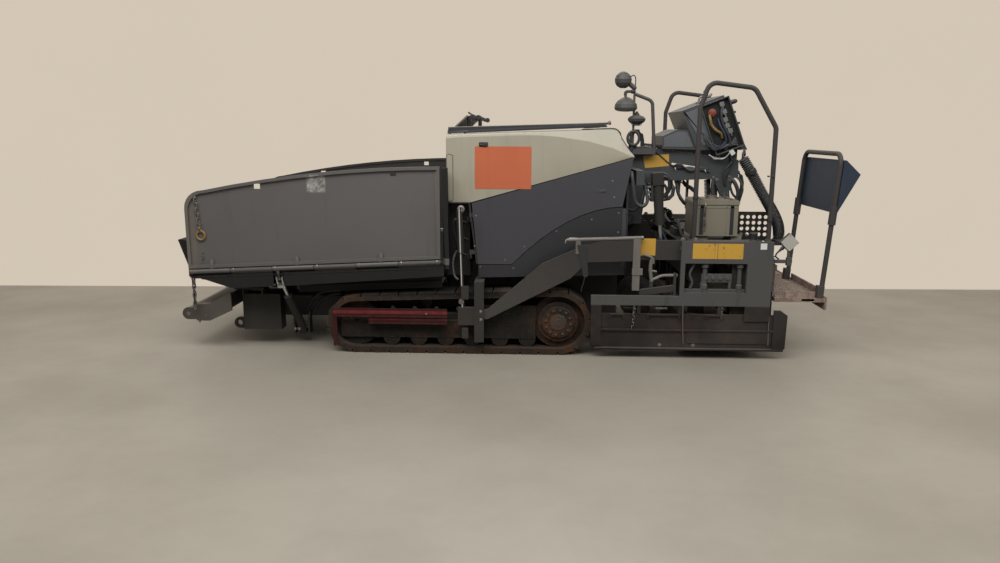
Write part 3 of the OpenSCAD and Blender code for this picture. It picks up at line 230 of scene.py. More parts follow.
def rubber(name, colour=(0.022, 0.022, 0.024), rough=0.6):
    f = Finish(name)
    fine = f.cloud(60, 4, 0.6)
    dusty = f.facing_up().band(0.2, 1.0) * fine.band(0.3, 0.7) * 0.35
    f.set(Base_Color=f.mix(dusty, colour, DUST), Roughness=fine * 0.2 + rough - 0.1)
    f.bumps(fine, 0.2, 0.001)


PLATE_YELLOW = (0.44, 0.25, 0.035)
STICKER_WHITE = (0.55, 0.55, 0.53)
COVER_NAVY = (0.024, 0.033, 0.050)
WING_GREY = (0.086, 0.080, 0.076)


def gate_areas(f):
    """Low half near-black, partly crust and partly painted shade near the floor; two blank yellow plates and
    a blank sticker on the outer face.
    """
    # the near-black low half: crust and painted shade together
    low = f.height().band(0.400, 0.385)
    worn = 1 - f.cloud(34, 6, 0.7).band(0.60, 0.66) * 0.75
    masks = [(low, (0.008, 0.0065, 0.006)),
             (low * f.cloud(5, 6, 0.7).band(0.48, 0.64) * 0.6, (0.030, 0.016, 0.012))]
    for near, far in ((924, 930), (-930, -924)):
        for x0, x1 in ((-1375, -1203), (-1554, -1379)):
            masks.append((f.patch((x0, near, 734), (x1, far, 842)) * worn, PLATE_YELLOW))
    return masks + [(f.patch((-1716, 924, 804), (-1672, 930, 846)), STICKER_WHITE)]


def wing_areas(f):
    """Caked inner faces, a patch scraped bright on the left wing's outside, and a paler front rim."""
    outer = f.along("Y").band(0.905, 0.907)
    scraped = f.patch((1398, 906, 1190), (1508, 930, 1292), 0.02) * outer
    scraped = scraped * f.cloud(28, 6, 0.75).band(0.36, 0.72) * 0.85
    inside = f.patch((500, -903.5, 560), (2500, 903.5, 1700), 0.0005)
    return [(inside, (0.020, 0.017, 0.014)), (scraped, (0.42, 0.40, 0.37)),
            (f.along("X").band(2.238, 2.262) * 0.5, (0.12, 0.10, 0.075))]


def guard_highlight_areas(f):
    """Painted highlights: two bright bands along the middles of the bars, where their upper strips catch the
    light.
    """
    upper = f.height().band(0.292, 0.300) * f.height().band(0.324, 0.316)
    lower = f.height().band(0.248, 0.254) * f.height().band(0.268, 0.262) * f.along("X").band(1.04, 1.00)
    # breaks up the painted highlights along the bars
    highlight_breakup = f.cloud(12, 5, 0.7).band(0.35, 0.65) * 0.55 + 0.45
    return [(upper.most(lower) * highlight_breakup, (0.14, 0.020, 0.020))]


def cylinder_areas(f):
    """A bright line along the levelling cylinder, where its oily side catches the light."""
    across = f.along("X") - f.height() * 0.0262
    return [(across.band(0.321, 0.323) * across.band(0.330, 0.328), (0.40, 0.38, 0.34))]


def recess_shade_areas(f):
    """Painted shade: the recess between hopper and doors is painted near-black."""
    return [(f.patch((374, -895, 560), (575, 895, 1106), 0.004), (0.004, 0.0035, 0.003))]


def hopper_areas(f):
    """The recess's painted shade, and the hinge pipe in the wings' colour."""
    above = f.height() + f.along("X") * 0.0493 - 0.7141
    side = f.along("Y")
    pipe = above.band(-0.0235, -0.0225) * above.band(0.0235, 0.0225) * (side * side).band(0.776, 0.779)
    return recess_shade_areas(f) + [(pipe, WING_GREY)]


def track_shade_areas(f):
    """Painted shade: the upper run under the hopper is painted near-black, where the hopper shades it."""
    along = f.along("X")
    upper = f.height().band(0.41, 0.45)
    return [(upper * along.band(0.02, 0.10) * along.band(1.14, 1.08), (0.006, 0.005, 0.004))]


def rail_areas(f):
    """The navy cover lies behind the plane of the leaning rail."""
    behind = f.along("X") + 2.218 + (f.height() - 0.4564) * 0.0664
    return [(behind.band(-0.0135, -0.0150), COVER_NAVY)]


def lid_areas(f):
    """The lid's raised front flap is in a paler colour."""
    return [(f.patch((392, -740, 1607), (600, 740, 1730)), (0.105, 0.098, 0.080))]


for name, colour, rough, dust, wear, grime, more in (
        ("hopper_grey", WING_GREY, 0.46, 0.12, 0.35, 0.2, {"areas": wing_areas}),
        # hopper_body: the hopper grey darkened, with asphalt residue inside and painted shade on the low
        # outer sides below the wing hinges
        ("hopper_body", (0.012, 0.011, 0.010), 0.7, 0.04, 0.3, 0.6, {"areas": hopper_areas, "shine": 0.2}),
        ("cream_hood", (0.300, 0.274, 0.212), 0.36, 0.10, 0.2, 0.15, {}),
        ("slate_panel", (0.040, 0.039, 0.045), 0.40, 0.12, 0.2, 0.25, {"areas": lid_areas}),
        # A darker copy of the slate paint for the lower skirts: painted shade.
        ("skirt_slate", (0.022, 0.022, 0.025), 0.42, 0.08, 0.25, 0.35, {"areas": recess_shade_areas, "shine": 0.4}),
        ("frame_grey", (0.018, 0.016, 0.014), 0.6, 0.12, 0.3, 0.5, {"areas": recess_shade_areas, "shine": 0.3}),
        ("arm_grey", (0.027, 0.024, 0.022), 0.5, 0.14, 0.4, 0.35, {"shine": 0.4}),
        ("console_grey", (0.037, 0.040, 0.042), 0.48, 0.2, 0.4, 0.35, {}),
        # signal_red: the base red is darkened as painted shade, and its two bright bands are painted
        # highlights
        ("signal_red", (0.034, 0.005, 0.005), 0.5, 0.03, 0.4, 0.7, {"areas": guard_highlight_areas, "shine": 0.2}),
        ("cylinder_dark", (0.020, 0.018, 0.016), 0.5, 0.1, 0.4, 0.5, {"areas": cylinder_areas, "shine": 0.3}),
        ("rail_brown", (0.050, 0.044, 0.043), 0.45, 0.15, 0.5, 0.3, {"areas": rail_areas, "shine": 0.12}),
        ("tank_pale", (0.175, 0.158, 0.115), 0.5, 0.25, 0.5, 0.5, {}),
        ("screed_grey", (0.062, 0.060, 0.058), 0.58, 0.12, 0.5, 0.45,
         {"bare": RUST, "areas": gate_areas, "shine": 0.3}),
        ("junction_grey", (0.36, 0.345, 0.30), 0.5, 0.3, 0.2, 0.3, {}),
        ("console_pale", (0.085, 0.090, 0.098), 0.42, 0.25, 0.3, 0.25, {}),
        ("sign_orange", (0.42, 0.105, 0.045), 0.4, 0.12, 0.05, 0.08, {}),
        ("plate_yellow", PLATE_YELLOW, 0.42, 0.15, 0.25, 0.5, {"bare": (0.06, 0.05, 0.03)}),
        ("sticker_white", STICKER_WHITE, 0.5, 0.15, 0.1, 0.2, {}),
        ("pale_metal", (0.125, 0.115, 0.10), 0.42, 0.15, 0.5, 0.35, {}),
        ("black_metal", (0.014, 0.013, 0.013), 0.5, 0.15, 0.3, 0.2, {}),
        ("worn_edge", (0.13, 0.105, 0.08), 0.6, 0.2, 0.6, 0.3, {}),
        ("hook_yellow", (0.19, 0.105, 0.025), 0.55, 0.15, 0.8, 0.4, {"bare": RUST}),
        ("disc_red", (0.17, 0.035, 0.020), 0.4, 0.25, 0.5, 0.7, {}),
        ("cable_yellow", (0.17, 0.105, 0.03), 0.5, 0.2, 0.1, 0.5, {}),
        ("cable_blue", (0.016, 0.028, 0.055), 0.5, 0.15, 0.05, 0.2, {}),
        ("plug_grey", (0.13, 0.13, 0.125), 0.45, 0.25, 0.1, 0.3, {}),
        ("push_beam_dust", (0.040, 0.034, 0.026), 0.6, 0.5, 0.4, 0.4, {})):
    paint(name, colour, rough, dust, wear, grime, **more)
# track_mud carries painted shade on its upper run under the hopper
caked_steel("track_mud", (0.032, 0.021, 0.014), rust=0.35, dust=0.05, areas=track_shade_areas)
caked_steel("under_mud", (0.017, 0.014, 0.011), rust=0.4, dust=0.08)
caked_steel("sprocket_rust", (0.050, 0.042, 0.036), rust=0.35)
caked_steel("screed_crust", (0.026, 0.023, 0.021), rust=0.3)
caked_steel("auger_steel", (0.045, 0.040, 0.036), rust=0.3)
caked_steel("walkway_dust", (0.27, 0.20, 0.165), rust=0.4, crust=0.3)
caked_steel("engine_block", (0.03, 0.03, 0.032), rust=0.1, crust=0.3)
bare_steel("rod_chrome", (0.55, 0.55, 0.55), rough=0.18, rust=0.12)
bare_steel("worn_steel", (0.24, 0.22, 0.20), rough=0.4, rust=0.8)
rubber("hose_rubber")
rubber("lamp_shell", (0.045, 0.042, 0.040), 0.55)
rubber("black_rubber", (0.016, 0.016, 0.017), 0.55)
rubber("black_gap", (0.004, 0.004, 0.004), 0.8)
rubber("grime_line", (0.10, 0.09, 0.07), 0.8)
glass = Finish("lens_glass", 0.12)
glass.set(Base_Color=glass.mix(glass.cloud(30), (0.16, 0.165, 0.17), (0.10, 0.10, 0.10)))

FINISH_NODES = {
    "frame_grey": "chassis tow_guides auger_drive wing_barrel_left wing_barrel_right lift_barrels "
                  "screed_deck",
    "push_beam_dust": "push_beam",
    "hopper_grey": "wing_left wing_right",
    "hopper_body": "hopper apron",
    "track_mud": "track_left track_right conveyor",
    "under_mud": "undercarriage_left undercarriage_right",
    "engine_block": "engine",
    "slate_panel": "door_left door_right hood_lid",
    "skirt_slate": "side_skirts",
    "cream_hood": "hood",
    "signal_red": "guard_bars",
    "rod_chrome": "wing_rod_left wing_rod_right lift_rods",
    "cylinder_dark": "levelling_cylinders",
    "console_grey": "console_carrier console",
    "arm_grey": "tow_arms",
    "lamp_shell": "lamp_mast",
    "auger_steel": "auger_left auger_right",
    "worn_steel": "push_roller_left push_roller_right",
    "screed_crust": "screed_main extension_left extension_right",
    "screed_grey": "end_gate_left end_gate_right",
    "tank_pale": "tank",
    "rail_brown": "handrails rear_rail",
    "hose_rubber": "conduit beam_hoses",
    "walkway_dust": "walkway_left walkway_right",
}
for finish_name, nodes in FINISH_NODES.items():
    for node_name in nodes.split():
        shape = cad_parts[node_name]
        shape.data.materials.clear()
        shape.data.materials.append(Finish.made[finish_name].material)

# Material slots of the record, with the finishes of pieces that belong to them
SLOT_FINISHES = {
    "hopper_grey": "hopper_grey hopper_body",
    "cream": "cream_hood",
    "slate": "slate_panel skirt_slate console_grey console_pale",
    "frame_grey": "frame_grey arm_grey",
    "red": "signal_red",
    "rail": "rail_brown",
    "screed_steel": "screed_grey",
    "steel": "worn_steel",
    "undercarriage": "under_mud",
    "walkway": "walkway_dust",
    "tank": "tank_pale",
    "conduit": "hose_rubber",
}
SLOT_OF = {finish: slot for slot, finishes in SLOT_FINISHES.items() for finish in finishes.split()}


# Shapes: each function gives a list of skins, and a skin is its rings of points and whether it closes

SIDES = {"left": 1, "right": -1}
AXES = {"x": Vector((1, 0, 0)), "y": Vector((0, 1, 0)), "z": Vector((0, 0, 1))}


def smooth(points, steps=5):
    """A rounded path through the points, with a few more points between them."""
    points = [Vector(p) for p in points]
    line = [points[0] * 2 - points[1]] + points + [points[-1] * 2 - points[-2]]
    path = []
    for a, b, c, d in zip(line, line[1:], line[2:], line[3:]):
        for k in range(steps):
            t = k / steps
            path.append(0.5 * ((2 * b) + (c - a) * t + (2 * a - 5 * b + 4 * c - d) * t ** 2
                               + (3 * b - 3 * c + d - a) * t ** 3))
    return path + [points[-1]]


def rounded(low, high, radius, steps=4):
    """A rectangle with round corners, from its two corners."""
    outline = []
    for cx, cy, first in ((high[0] - radius, high[1] - radius, 0), (low[0] + radius, high[1] - radius, 90),
                          (low[0] + radius, low[1] + radius, 180), (high[0] - radius, low[1] + radius, 270)):
        for k in range(steps + 1):
            a = math.radians(first + 90 * k / steps)
            outline.append((cx + radius * math.cos(a), cy + radius * math.sin(a)))
    return outline


def helix(start, end, radius, turns, steps=12):
    """A spiral from start to end, whose ends come back to the axis."""
    start, end = Vector(start), Vector(end)
    along = (end - start).normalized()
    side = along.orthogonal().normalized()
    other = along.cross(side)
    count = int(turns * steps)
    path = [start]
    for k in range(count + 1):
        a = 2 * math.pi * k / steps
        where = start.lerp(end, 0.04 + 0.92 * k / count)
        path.append(where + radius * (math.cos(a) * side + math.sin(a) * other))
    return path + [end]


def circle(middle, long, high, degrees):
    """Points on an upright oval round a middle, at angles in degrees."""
    x, y, z = middle
    return [(x + long * math.cos(math.radians(a)), y, z + high * math.sin(math.radians(a))) for a in degrees]


def ring(middle, radius, across, other, sides):
    turns = [2 * math.pi * k / sides for k in range(sides)]
    return [middle + radius * (math.cos(a) * across + math.sin(a) * other) for a in turns]


def skin(rings, closed=False):
    return [(rings, closed)]


def each(parts):
    """The skins of several parts as one list."""
    return [found for part in parts for found in part]


def tube(path, radius, sides=10, closed=False):
    """A round bar along a path, of one radius or a list of them."""
    path = [Vector(p) for p in path]
    last = len(path) - 1
    before = None
    rings = []
    for k, p in enumerate(path):
        if closed:
            along = (path[(k + 1) % len(path)] - path[k - 1]).normalized()
        else:
            along = (path[min(k + 1, last)] - path[max(k - 1, 0)]).normalized()
        if before is None:
            across = along.cross(AXES["y"])
            across = across.normalized() if across.length > 0.2 else along.cross(AXES["z"]).normalized()
        else:
            across = before.rotation_difference(along) @ across
        before = along
        size = radius[k] if isinstance(radius, list) else radius
        rings.append(ring(p, size, across, along.cross(across), sides))
    return skin(rings, closed)


def hose(points, radius, sides=10, steps=5):
    return tube(smooth(points, steps), radius, sides)


def lathe(base, direction, profile, sides=20):
    """A turned part: heights along a direction, each with its radius."""
    direction = AXES[direction] if direction in AXES else Vector(direction).normalized()
    side = direction.orthogonal().normalized()
    other = direction.cross(side)
    return skin([ring(Vector(base) + direction * h, r, side, other, sides) for h, r in profile])


def slab(axis, outline, low, high):
    """A plate with an outline, from low to high along an axis."""
    def lift(u, v, depth):
        return {"x": (depth, u, v), "y": (u, depth, v), "z": (u, v, depth)}[axis]
    return skin([[lift(u, v, depth) for u, v in outline] for depth in (low, high)])


def pad(axis, corner, far_corner, radius, low, high):
    return slab(axis, rounded(corner, far_corner, radius), low, high)


def box(low, high):
    return slab("z", [(low[0], low[1]), (high[0], low[1]), (high[0], high[1]), (low[0], high[1])],
                low[2], high[2])


def bolt(where, direction, size, washer=True):
    """A hexagon head on its washer."""
    head = lathe(where, direction, [(0, size * 0.62), (size * 0.5, size * 0.62), (size * 0.6, size * 0.5)], 6)
    if washer:
        return lathe(where, direction, [(-1, size * 0.95), (size * 0.14, size * 0.95)], 14) + head
    return head


def bolts(y, direction, size, places, washer=True):
    """Bolts on one upright face, given by their x and z."""
    return each(bolt((x, y, z), direction, size, washer) for x, z in places)


def tread(x, y, lengthwise, reach, base):
    """One raised bar of a tread plate, along the machine or across it."""
    u, v = (reach, 3) if lengthwise else (3, reach)
    return slab("z", [(x - u, y - v), (x + u, y - v), (x + u, y + v), (x - u, y + v)], base, base + 2.5)


def chain(top, bottom, length, width, wire):
    """Round-bar links in a row; every second one is turned."""
    top, bottom = Vector(top), Vector(bottom)
    along = (bottom - top).normalized()
    pitch = length - 2.1 * wire
    reach = (length - width) / 2
    bend = (width - wire) / 2
    links = []
    for k in range(max(1, round((bottom - top).length / pitch))):
        middle = top + along * (pitch * (k + 0.5))
        side = along.orthogonal().normalized()
        if k % 2:
            side = along.cross(side)
        line = []
        for s in range(16):
            a = 2 * math.pi * s / 16
            ends = reach if math.sin(a) > 0 else -reach
            line.append(middle + along * (ends + math.sin(a) * bend) + side * math.cos(a) * bend)
        links += tube(line, wire / 2, 6, closed=True)
    return links


def placed(name, mesh, finish, angle):
    """The object of a gathered mesh, smooth but for edges sharper than the angle."""
    bmesh.ops.recalc_face_normals(mesh, faces=list(mesh.faces))
    data = bpy.data.meshes.new(name)
    mesh.to_mesh(data)
    mesh.free()
    data.materials.append(Finish.made[finish].material)
    made = bpy.data.objects.new(name, data)
    bpy.context.scene.collection.objects.link(made)
    data.shade_smooth()
    data.set_sharp_from_angle(angle=math.radians(angle))
    return made


def piece(name, body, finish, edges, *parts, both=False, angle=38, turn=Matrix()):
    """One object of parts given in stations, with soft edges of a width in millimetres.

    It rides on a body, unless its body is None."""
    mesh = bmesh.new()
    for rings, closed in each(parts):
        rows = [[mesh.verts.new(at(*(turn @ Vector(p)))) for p in points] for points in rings]
        pairs = list(zip(rows, rows[1:]))
        if closed:
            pairs.append((rows[-1], rows[0]))
        for low, high in pairs:
            for k in range(len(low)):
                m = (k + 1) % len(low)
                mesh.faces.new((low[k], low[m], high[m], high[k]))
        if not closed:
            mesh.faces.new(reversed(rows[0]))
            mesh.faces.new(rows[-1])
    if both:
        copy = bmesh.ops.duplicate(mesh, geom=list(mesh.verts) + list(mesh.faces))
        for part in copy["geom"]:
            if isinstance(part, bmesh.types.BMVert):
                part.co.y *= -1
    made = placed(name, mesh, finish, angle)
    if edges:
        bevel = made.modifiers.new("soft_edges", "BEVEL")
        bevel.width = edges / 1000
        bevel.segments = 2
        bevel.limit_method = "ANGLE"
        bevel.angle_limit = math.radians(50)
        made.modifiers.new("flat_faces", "WEIGHTED_NORMAL").keep_sharp = True
    if body:
        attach(made, body)
    finish in SLOT_OF
    return made


def about_y(point, degrees):
    """A turn about the cross axis through a point."""
    point = Vector(point)
    turn = Matrix.Rotation(math.radians(degrees), 4, AXES["y"])
    return Matrix.Translation(point) @ turn @ Matrix.Translation(-point)


def pair(*given):
    """A piece with its mirror image on the machine's other side."""
    piece(*given, both=True)


# Hood shell: the same outline as the CAD hood, with its crease, soft edges and thin wall

HOOD_SIDE = 800
HOOD_LOW = [(543, 1108), (367, 1108), (-793, 1437)]
HOOD_TOP = [(543, 1587), (-635, 1627), (-665, 1619), (-687, 1597), (-695, 1567), (-749, 1482), (-793, 1437)]
CREASE = [(543, 1560), (200, 1585), (-50, 1588), (-255, 1574), (-480, 1540), (-650, 1492), (-793, 1430)]
HOOD_STATIONS = [543, 535, 500, 440, 367, 250, 120, 0, -120, -240, -360, -470, -560, -620, -645, -665, -680,
                 -690, -696, -715, -740, -765, -786]


def level(line, x):
    """Height of a front-to-rear line at a station."""
    for (x0, z0), (x1, z1) in zip(line, line[1:]):
        if x1 <= x <= x0:
            return z0 + (z1 - z0) * (x0 - x) / (x0 - x1)
    return line[-1][1]


def hood_shell():
    shell = bmesh.new()
    rows = []
    for x in HOOD_STATIONS:
        top, low = level(HOOD_TOP, x), level(HOOD_LOW, x)
        bend = max(low, min(level(CREASE, x), top - 22))
        inward = 0.42 * (top - 14 - bend)
        side = [(HOOD_SIDE, low), (HOOD_SIDE, (low + bend) / 2), (HOOD_SIDE, bend - 5),
                (HOOD_SIDE - 1.5, bend)]
        if top - low > 60:
            for a in map(math.radians, (0, 25, 50, 75, 90)):
                side.append((HOOD_SIDE - inward - 14 * (1 - math.cos(a)), top - 14 + 14 * math.sin(a)))
        else:
            side += [(HOOD_SIDE - 2 * k, bend + (top - bend) * k / 5) for k in (1, 2, 3, 4, 5)]
        half = side + [(400, top + (1.5 if top - low > 60 else 0))]
        line = half + [(-y, z) for y, z in reversed(half)]
        rows.append([shell.verts.new(at(x, y, z)) for y, z in line])
    for front, rear in zip(rows, rows[1:]):
        for k in range(len(front) - 1):
            shell.faces.new((front[k], front[k + 1], rear[k + 1], rear[k]))
    shell.faces.new(rows[0])
    shell.faces.new(reversed(rows[-1]))
    made = placed("hood_shell", shell, "cream_hood", 30)
    wall = made.modifiers.new("wall", "SOLIDIFY")
    wall.thickness = 0.008
    wall.offset = -1
    made.modifiers.new("flat_faces", "WEIGHTED_NORMAL").keep_sharp = True
    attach(made, "tractor")
    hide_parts("hood")


# Heights, routes, outlines and profiles with a name

WALKWAY_TOP = 454.5
DECK_TOP = 811.5
SPROCKET = (-271, 861.5, 243)
CONSOLE_TOP = (-1508, 1883)
CONSOLE_DOWN = (-0.360, 0, -0.933)
CONSOLE_BACK = (-0.93, 0, 0.36)
CONDUIT_ROUTE = [(-1880, 640, 812.4), (-1880, 640, 848), (-1883, 630, 892), (-1882, 600, 945),
                 (-1868, 552, 1005), (-1842, 500, 1072), (-1804, 466, 1142), (-1760, 450, 1222),
                 (-1704, 450, 1315), (-1640, 450, 1415)]
SCREW = [(0, 6), (2, 6), (3.2, 3.5)]
SMALL_BOSS = [(0, 11), (5, 11), (6, 6)]
LUG = [(-12, 16), (12, 16), (5, 70), (1, 84), (-7, 84), (-12, 66)]
PLUG = [(-17, -19), (17, -19), (17, 14), (-17, 14)]
STAY = [(404, 1700), (372, 1700), (344, 1688), (330, 1700), (372, 1722), (404, 1714)]
BEAM_PLATE = [(-927, 1425), (-1126, 1441), (-1131, 1350), (-947, 1333)]
SCREEN = ((40, -120), (40, 80), (170, 80), (170, -120))


def hinge_level(x):
    return 690 - (x - 577) * 90 / 1825


def console_at(u, v, y):
    """A point of the console: u forward along its top, v down along its rear edge."""
    return (CONSOLE_TOP[0] + 0.933 * u - 0.360 * v, y, CONSOLE_TOP[1] - 0.360 * u - 0.933 * v)


def console_outline(points):
    return [(x, z) for x, _, z in (console_at(u, v, 0) for u, v in points)]


# Hood and its lid

hood_shell()
piece("blank_sign", "tractor", "sign_orange", 0, pad("y", (-63, 1204), (338, 1503), 6, 800.2, 801.6))
pair("hood_front_strip", "tractor", "cream_hood", 1.2, pad("y", (500, 1118), (538, 1441), 16, 799, 803.5))
pair("hood_strip_groove", "tractor", "grime_line", 0,
     tube([(x, 800.4, z) for x, z in rounded((494, 1112), (541, 1447), 20)], 2, 6, closed=True))
pair("hood_rear_seal", "tractor", "black_rubber", 0,
     hose([(-520, 735, 1626), (-630, 735, 1630), (-664, 735, 1623), (-690, 735, 1599), (-699, 737, 1567),
           (-752, 760, 1484)], 5, 8))
pair("hood_seams", "tractor", "black_gap", 0,
     tube([(494, 799.6, 1120), (494, 799.6, 1441)], 1.6, 6),
     slab("y", [(x, z - 3) for x, z in HOOD_LOW[1:]] + [(x, z - 8) for x, z in reversed(HOOD_LOW[1:])],
          796, 799.4))
pair("hood_latches", "tractor", "black_rubber", 1,
     pad("y", (245, 1500), (309, 1532), 6, 799, 804), pad("y", (253, 1506), (283, 1524), 4, 803, 813),
     tube([(281, 811, 1515), (297, 812, 1515), (304, 806, 1515)], 5, 8))
piece("front_louvres", "tractor", "black_metal", 0.8,
      each(slab("y", [(543, z), (552, z - 8), (553, z - 4), (544, z + 5)], -460, 460)
           for z in range(1225, 1498, 34)),
      pad("x", (-490, 1195), (490, 1535), 12, 542, 544))
piece("rear_louvres", "tractor", "black_metal", 0.8,
      each(slab("y", [(-757, z), (-766, z - 10), (-768, z - 6), (-758, z + 6)], low, high)
           for z in range(1085, 1326, 40) for low, high in ((-640, -190), (290, 640))))
piece("lid_lip", "hood_lid", "black_metal", 1,
      tube([(532, y, 1611) for y in (-735, 0, 735)], 5, 8), box((-596, -735, 1640), (-585, 735, 1652)))
pair("lid_inner_frame", "hood_lid", "black_rubber", 1,
     slab("y", [(532, 1591), (-588, 1642), (-588, 1667), (532, 1632)], 712, 739),
     box((-545, 0, 1636), (-530, 712, 1655)))
pair("lid_top_edges", "hood_lid", "pale_metal", 0, tube([(532, 737, 1634), (-588, 737, 1669)], 3.5, 8))
pair("lid_ribs", "hood_lid", "slate_panel", 2,
     each(slab("y", [(480, 1604), (480, 1613), (-540, 1671), (-540, 1660)], y - 14, y + 14)
          for y in (160, 480)))
pair("lid_handles", "hood_lid", "pale_metal", 0,
     lathe((-596, 640, 1664), (-1, 0, 0.25),
           [(-4, 5), (16, 5), (18, 12), (24, 15), (32, 15), (37, 11), (38, 4)]),
     lathe((80, 700, 1636), "z", [(0, 9), (3, 9), (5, 6), (7, 6)], 12))
piece("lid_flap_stay", "hood_lid", "black_metal", 1.5,
      each(box((372, y - 14, 1612), (404, y + 14, 1700)) + slab("y", STAY, y - 10, y + 10)
           + lathe((322, y - 24, 1703), "y", [(0, 15), (4, 20), (44, 20), (48, 15)])
           + tube([(336, y, 1712), (372, y, 1726), (396, y, 1742)], 6, 8) for y in (640, -640)))


# Doors and skirts

for side, s in SIDES.items():
    piece(f"door_fittings_{side}", f"door_{side}", "pale_metal", 0,
          each(lathe((x, s * 799.6, z), (0, s, 0), [(0, 7), (2, 7), (3.4, 4)], 10)
               for x, z in ((-640, 1265), (-655, 1150), (330, 1010), (340, 790))))
    piece(f"door_lock_{side}", f"door_{side}", "slate_panel", 0.8,
          pad("y", (-600, 1180), (-520, 1206), 8, s * 799.5, s * 801.5),
          pad("y", (-592, 1186), (-548, 1200), 5, s * 801, s * 804))
pair("skirt_screws", "tractor", "pale_metal", 0,
     each(lathe((x, 799.6, z), "y", SCREW, 10)
          for x, z in ((-690, 1038), (-690, 900), (-500, 990), (-250, 905), (-20, 790), (120, 690),
                       (300, 640), (-690, 760), (-480, 640), (-200, 640), (60, 630))))
pair("skirt_rear_strip", "tractor", "slate_panel", 1.2, box((-744, 799, 652), (-716, 804, 1064)))
pair("recess_parts", "tractor", "black_metal", 1,
     box((372, 712, 1098), (543, 800, 1106)),
     slab("y", [(372, 1104), (386, 1104), (330, 660), (318, 660)], 760, 797),
     each(hose([(480, 716, z), (440, 722, z + 22), (390, 718, z + 8)], 7, 8) for z in (700, 820, 940)))
for side, s in SIDES.items():
    piece(f"wing_fittings_{side}", f"wing_{side}", "worn_steel", 0,
          each(lathe((x, s * 905, hinge_level(x)), (1, 0, -0.05),
                     [(-4, 20.8), (-3.2, 21.6), (3.2, 21.6), (4, 20.8)], 24)
               for x in (2378, 2074, 1770, 1465, 1161, 857, 600)))
    piece(f"wing_lugs_{side}", f"wing_{side}", "pale_metal", 2.5,
          each(slab("y", [(x + dx, hinge_level(x) + up) for dx, up in LUG], s * 908, s * 923.4)
               for x in (1004, 1612, 2233)))
    piece(f"wing_rear_liner_{side}", f"wing_{side}", "worn_edge", 0.8,
          slab("y", [(598, 1330), (614, 1332), (600, 740), (584, 740)], s * 909.2, s * 912))
    # A black strip between the wing's face and its rear strip: painted shade in the gap.
    piece(f"wing_gap_shade_{side}", f"wing_{side}", "black_rubber", 0.8,
          slab("y", [(585, 730), (591, 730), (606, 1340), (599, 1340)], s * 880, s * 900))
pair("hopper_bolts", "tractor", "worn_steel", 0,
     each(lathe((x, 560, 560 - (x - 700) * 0.012), (0, -0.35, 1), [(-6, 10), (0, 10), (2, 7)], 14)
          for x in range(700, 2200, 180)))
pair("hopper_welds", "tractor", "hopper_body", 0,
     tube([(x, 908.6, hinge_level(x) - 44 + 1.5 * math.sin(x * 0.35)) for x in range(600, 2380, 12)],
          2.4, 6))
pair("hopper_hinge_lips", "tractor", "black_rubber", 0,
     slab("y", [(x, hinge_level(x) + up) for x, up in ((556, -50), (556, -12), (2396, -12), (2396, -50))],
          880, 883))
pair("push_chains", "tractor", "worn_steel", 0, chain((2386, 892, 566), (2386, 892, 330), 48, 31, 8))
pair("hopper_hoses", "tractor", "hose_rubber", 0,
     hose([(1640, 602, 250), (1620, 604, 300), (1580, 604, 360), (1500, 604, 400), (1380, 604, 410)], 9, 8),
     hose([(1600, 602, 215), (1580, 604, 260), (1530, 604, 335), (1450, 604, 375), (1380, 604, 385)], 9, 8))
piece("apron_bolts", "apron", "worn_steel", 0,
      each(bolt((2447, y, 735), (1, 0, -0.28), 16) for y in range(-800, 801, 160)))
piece("push_beam_bolts", "push_beam", "worn_steel", 0,
      each(bolts(s * 850, (0, s, 0), 9, ((2330, 262), (2380, 215))) for s in (1, -1)))
for side, s in SIDES.items():
    piece(f"wing_chain_{side}", f"wing_{side}", "worn_steel", 0,
          lathe((2322, s * 923, 1138), (0, s, 0), [(-14, 11), (-3, 11), (0, 9), (1, 5)], 14),
          chain((2322, s * 916, 1136), (2304, s * 916, 922), 54, 33, 8))
    piece(f"wing_hook_{side}", f"wing_{side}", "hook_yellow", 0,
          tube([(2303, s * 916, 926), (2300, s * 916, 908)]
               + circle((2299, s * 916, 866), 30, 32, range(100, 431, 22)), 8.5, 10),
          lathe((2304, s * 916, 918), "z", [(-8, 11), (6, 12), (12, 8)], 12),
          slab("y", [(2268, 872), (2276, 876), (2300, 912), (2292, 914)], s * 911, s * 914))
    piece(f"wing_chain_end_{side}", f"wing_{side}", "worn_steel", 0,
          chain((2292, s * 914, 742), (2298, s * 914, 668), 34, 20, 5))
pair("wing_cylinder_bolts", "tractor", "worn_steel", 0,
     each(bolt((x, 780, 150), "y", 12) for x in (1660, 1690)))


# Tracks and their frames

pair("sprocket_bolts", "tractor", "sprocket_rust", 1,
     each(bolt(p, "y", 16, False) for p in circle(SPROCKET, 92, 92, range(8, 360, 30))),
     lathe(SPROCKET, "y", [(0, 60), (4, 60), (7, 54), (7.5, 30), (10, 28), (11, 12)], 32),
     lathe((-233, 861.5, 205), "y", SMALL_BOSS, 6),
     lathe((-309, 861.5, 281), "y", SMALL_BOSS, 6))
pair("track_frame_bolts", "tractor", "under_mud", 0.8,
     each(bolt((x, 829.5, 330), "y", 18) for x in range(-20, 1100, 160)),
     each(pad("y", (x, 205), (x + 90, 300), 10, 829, 834) for x in (40, 190)))
pair("idler_caps", "tractor", "under_mud", 1,
     lathe((1209, 808, 243), "y", [(0, 70), (6, 70), (10, 60), (11, 34), (20, 30), (22, 14)], 28),
     each(bolt(p, "y", 12, False) for p in circle((1209, 816, 243), 48, 48, range(0, 360, 60))))
pair("guard_bar_bolts", "tractor", "worn_steel", 0, bolt((690, 877, 300), "y", 9))
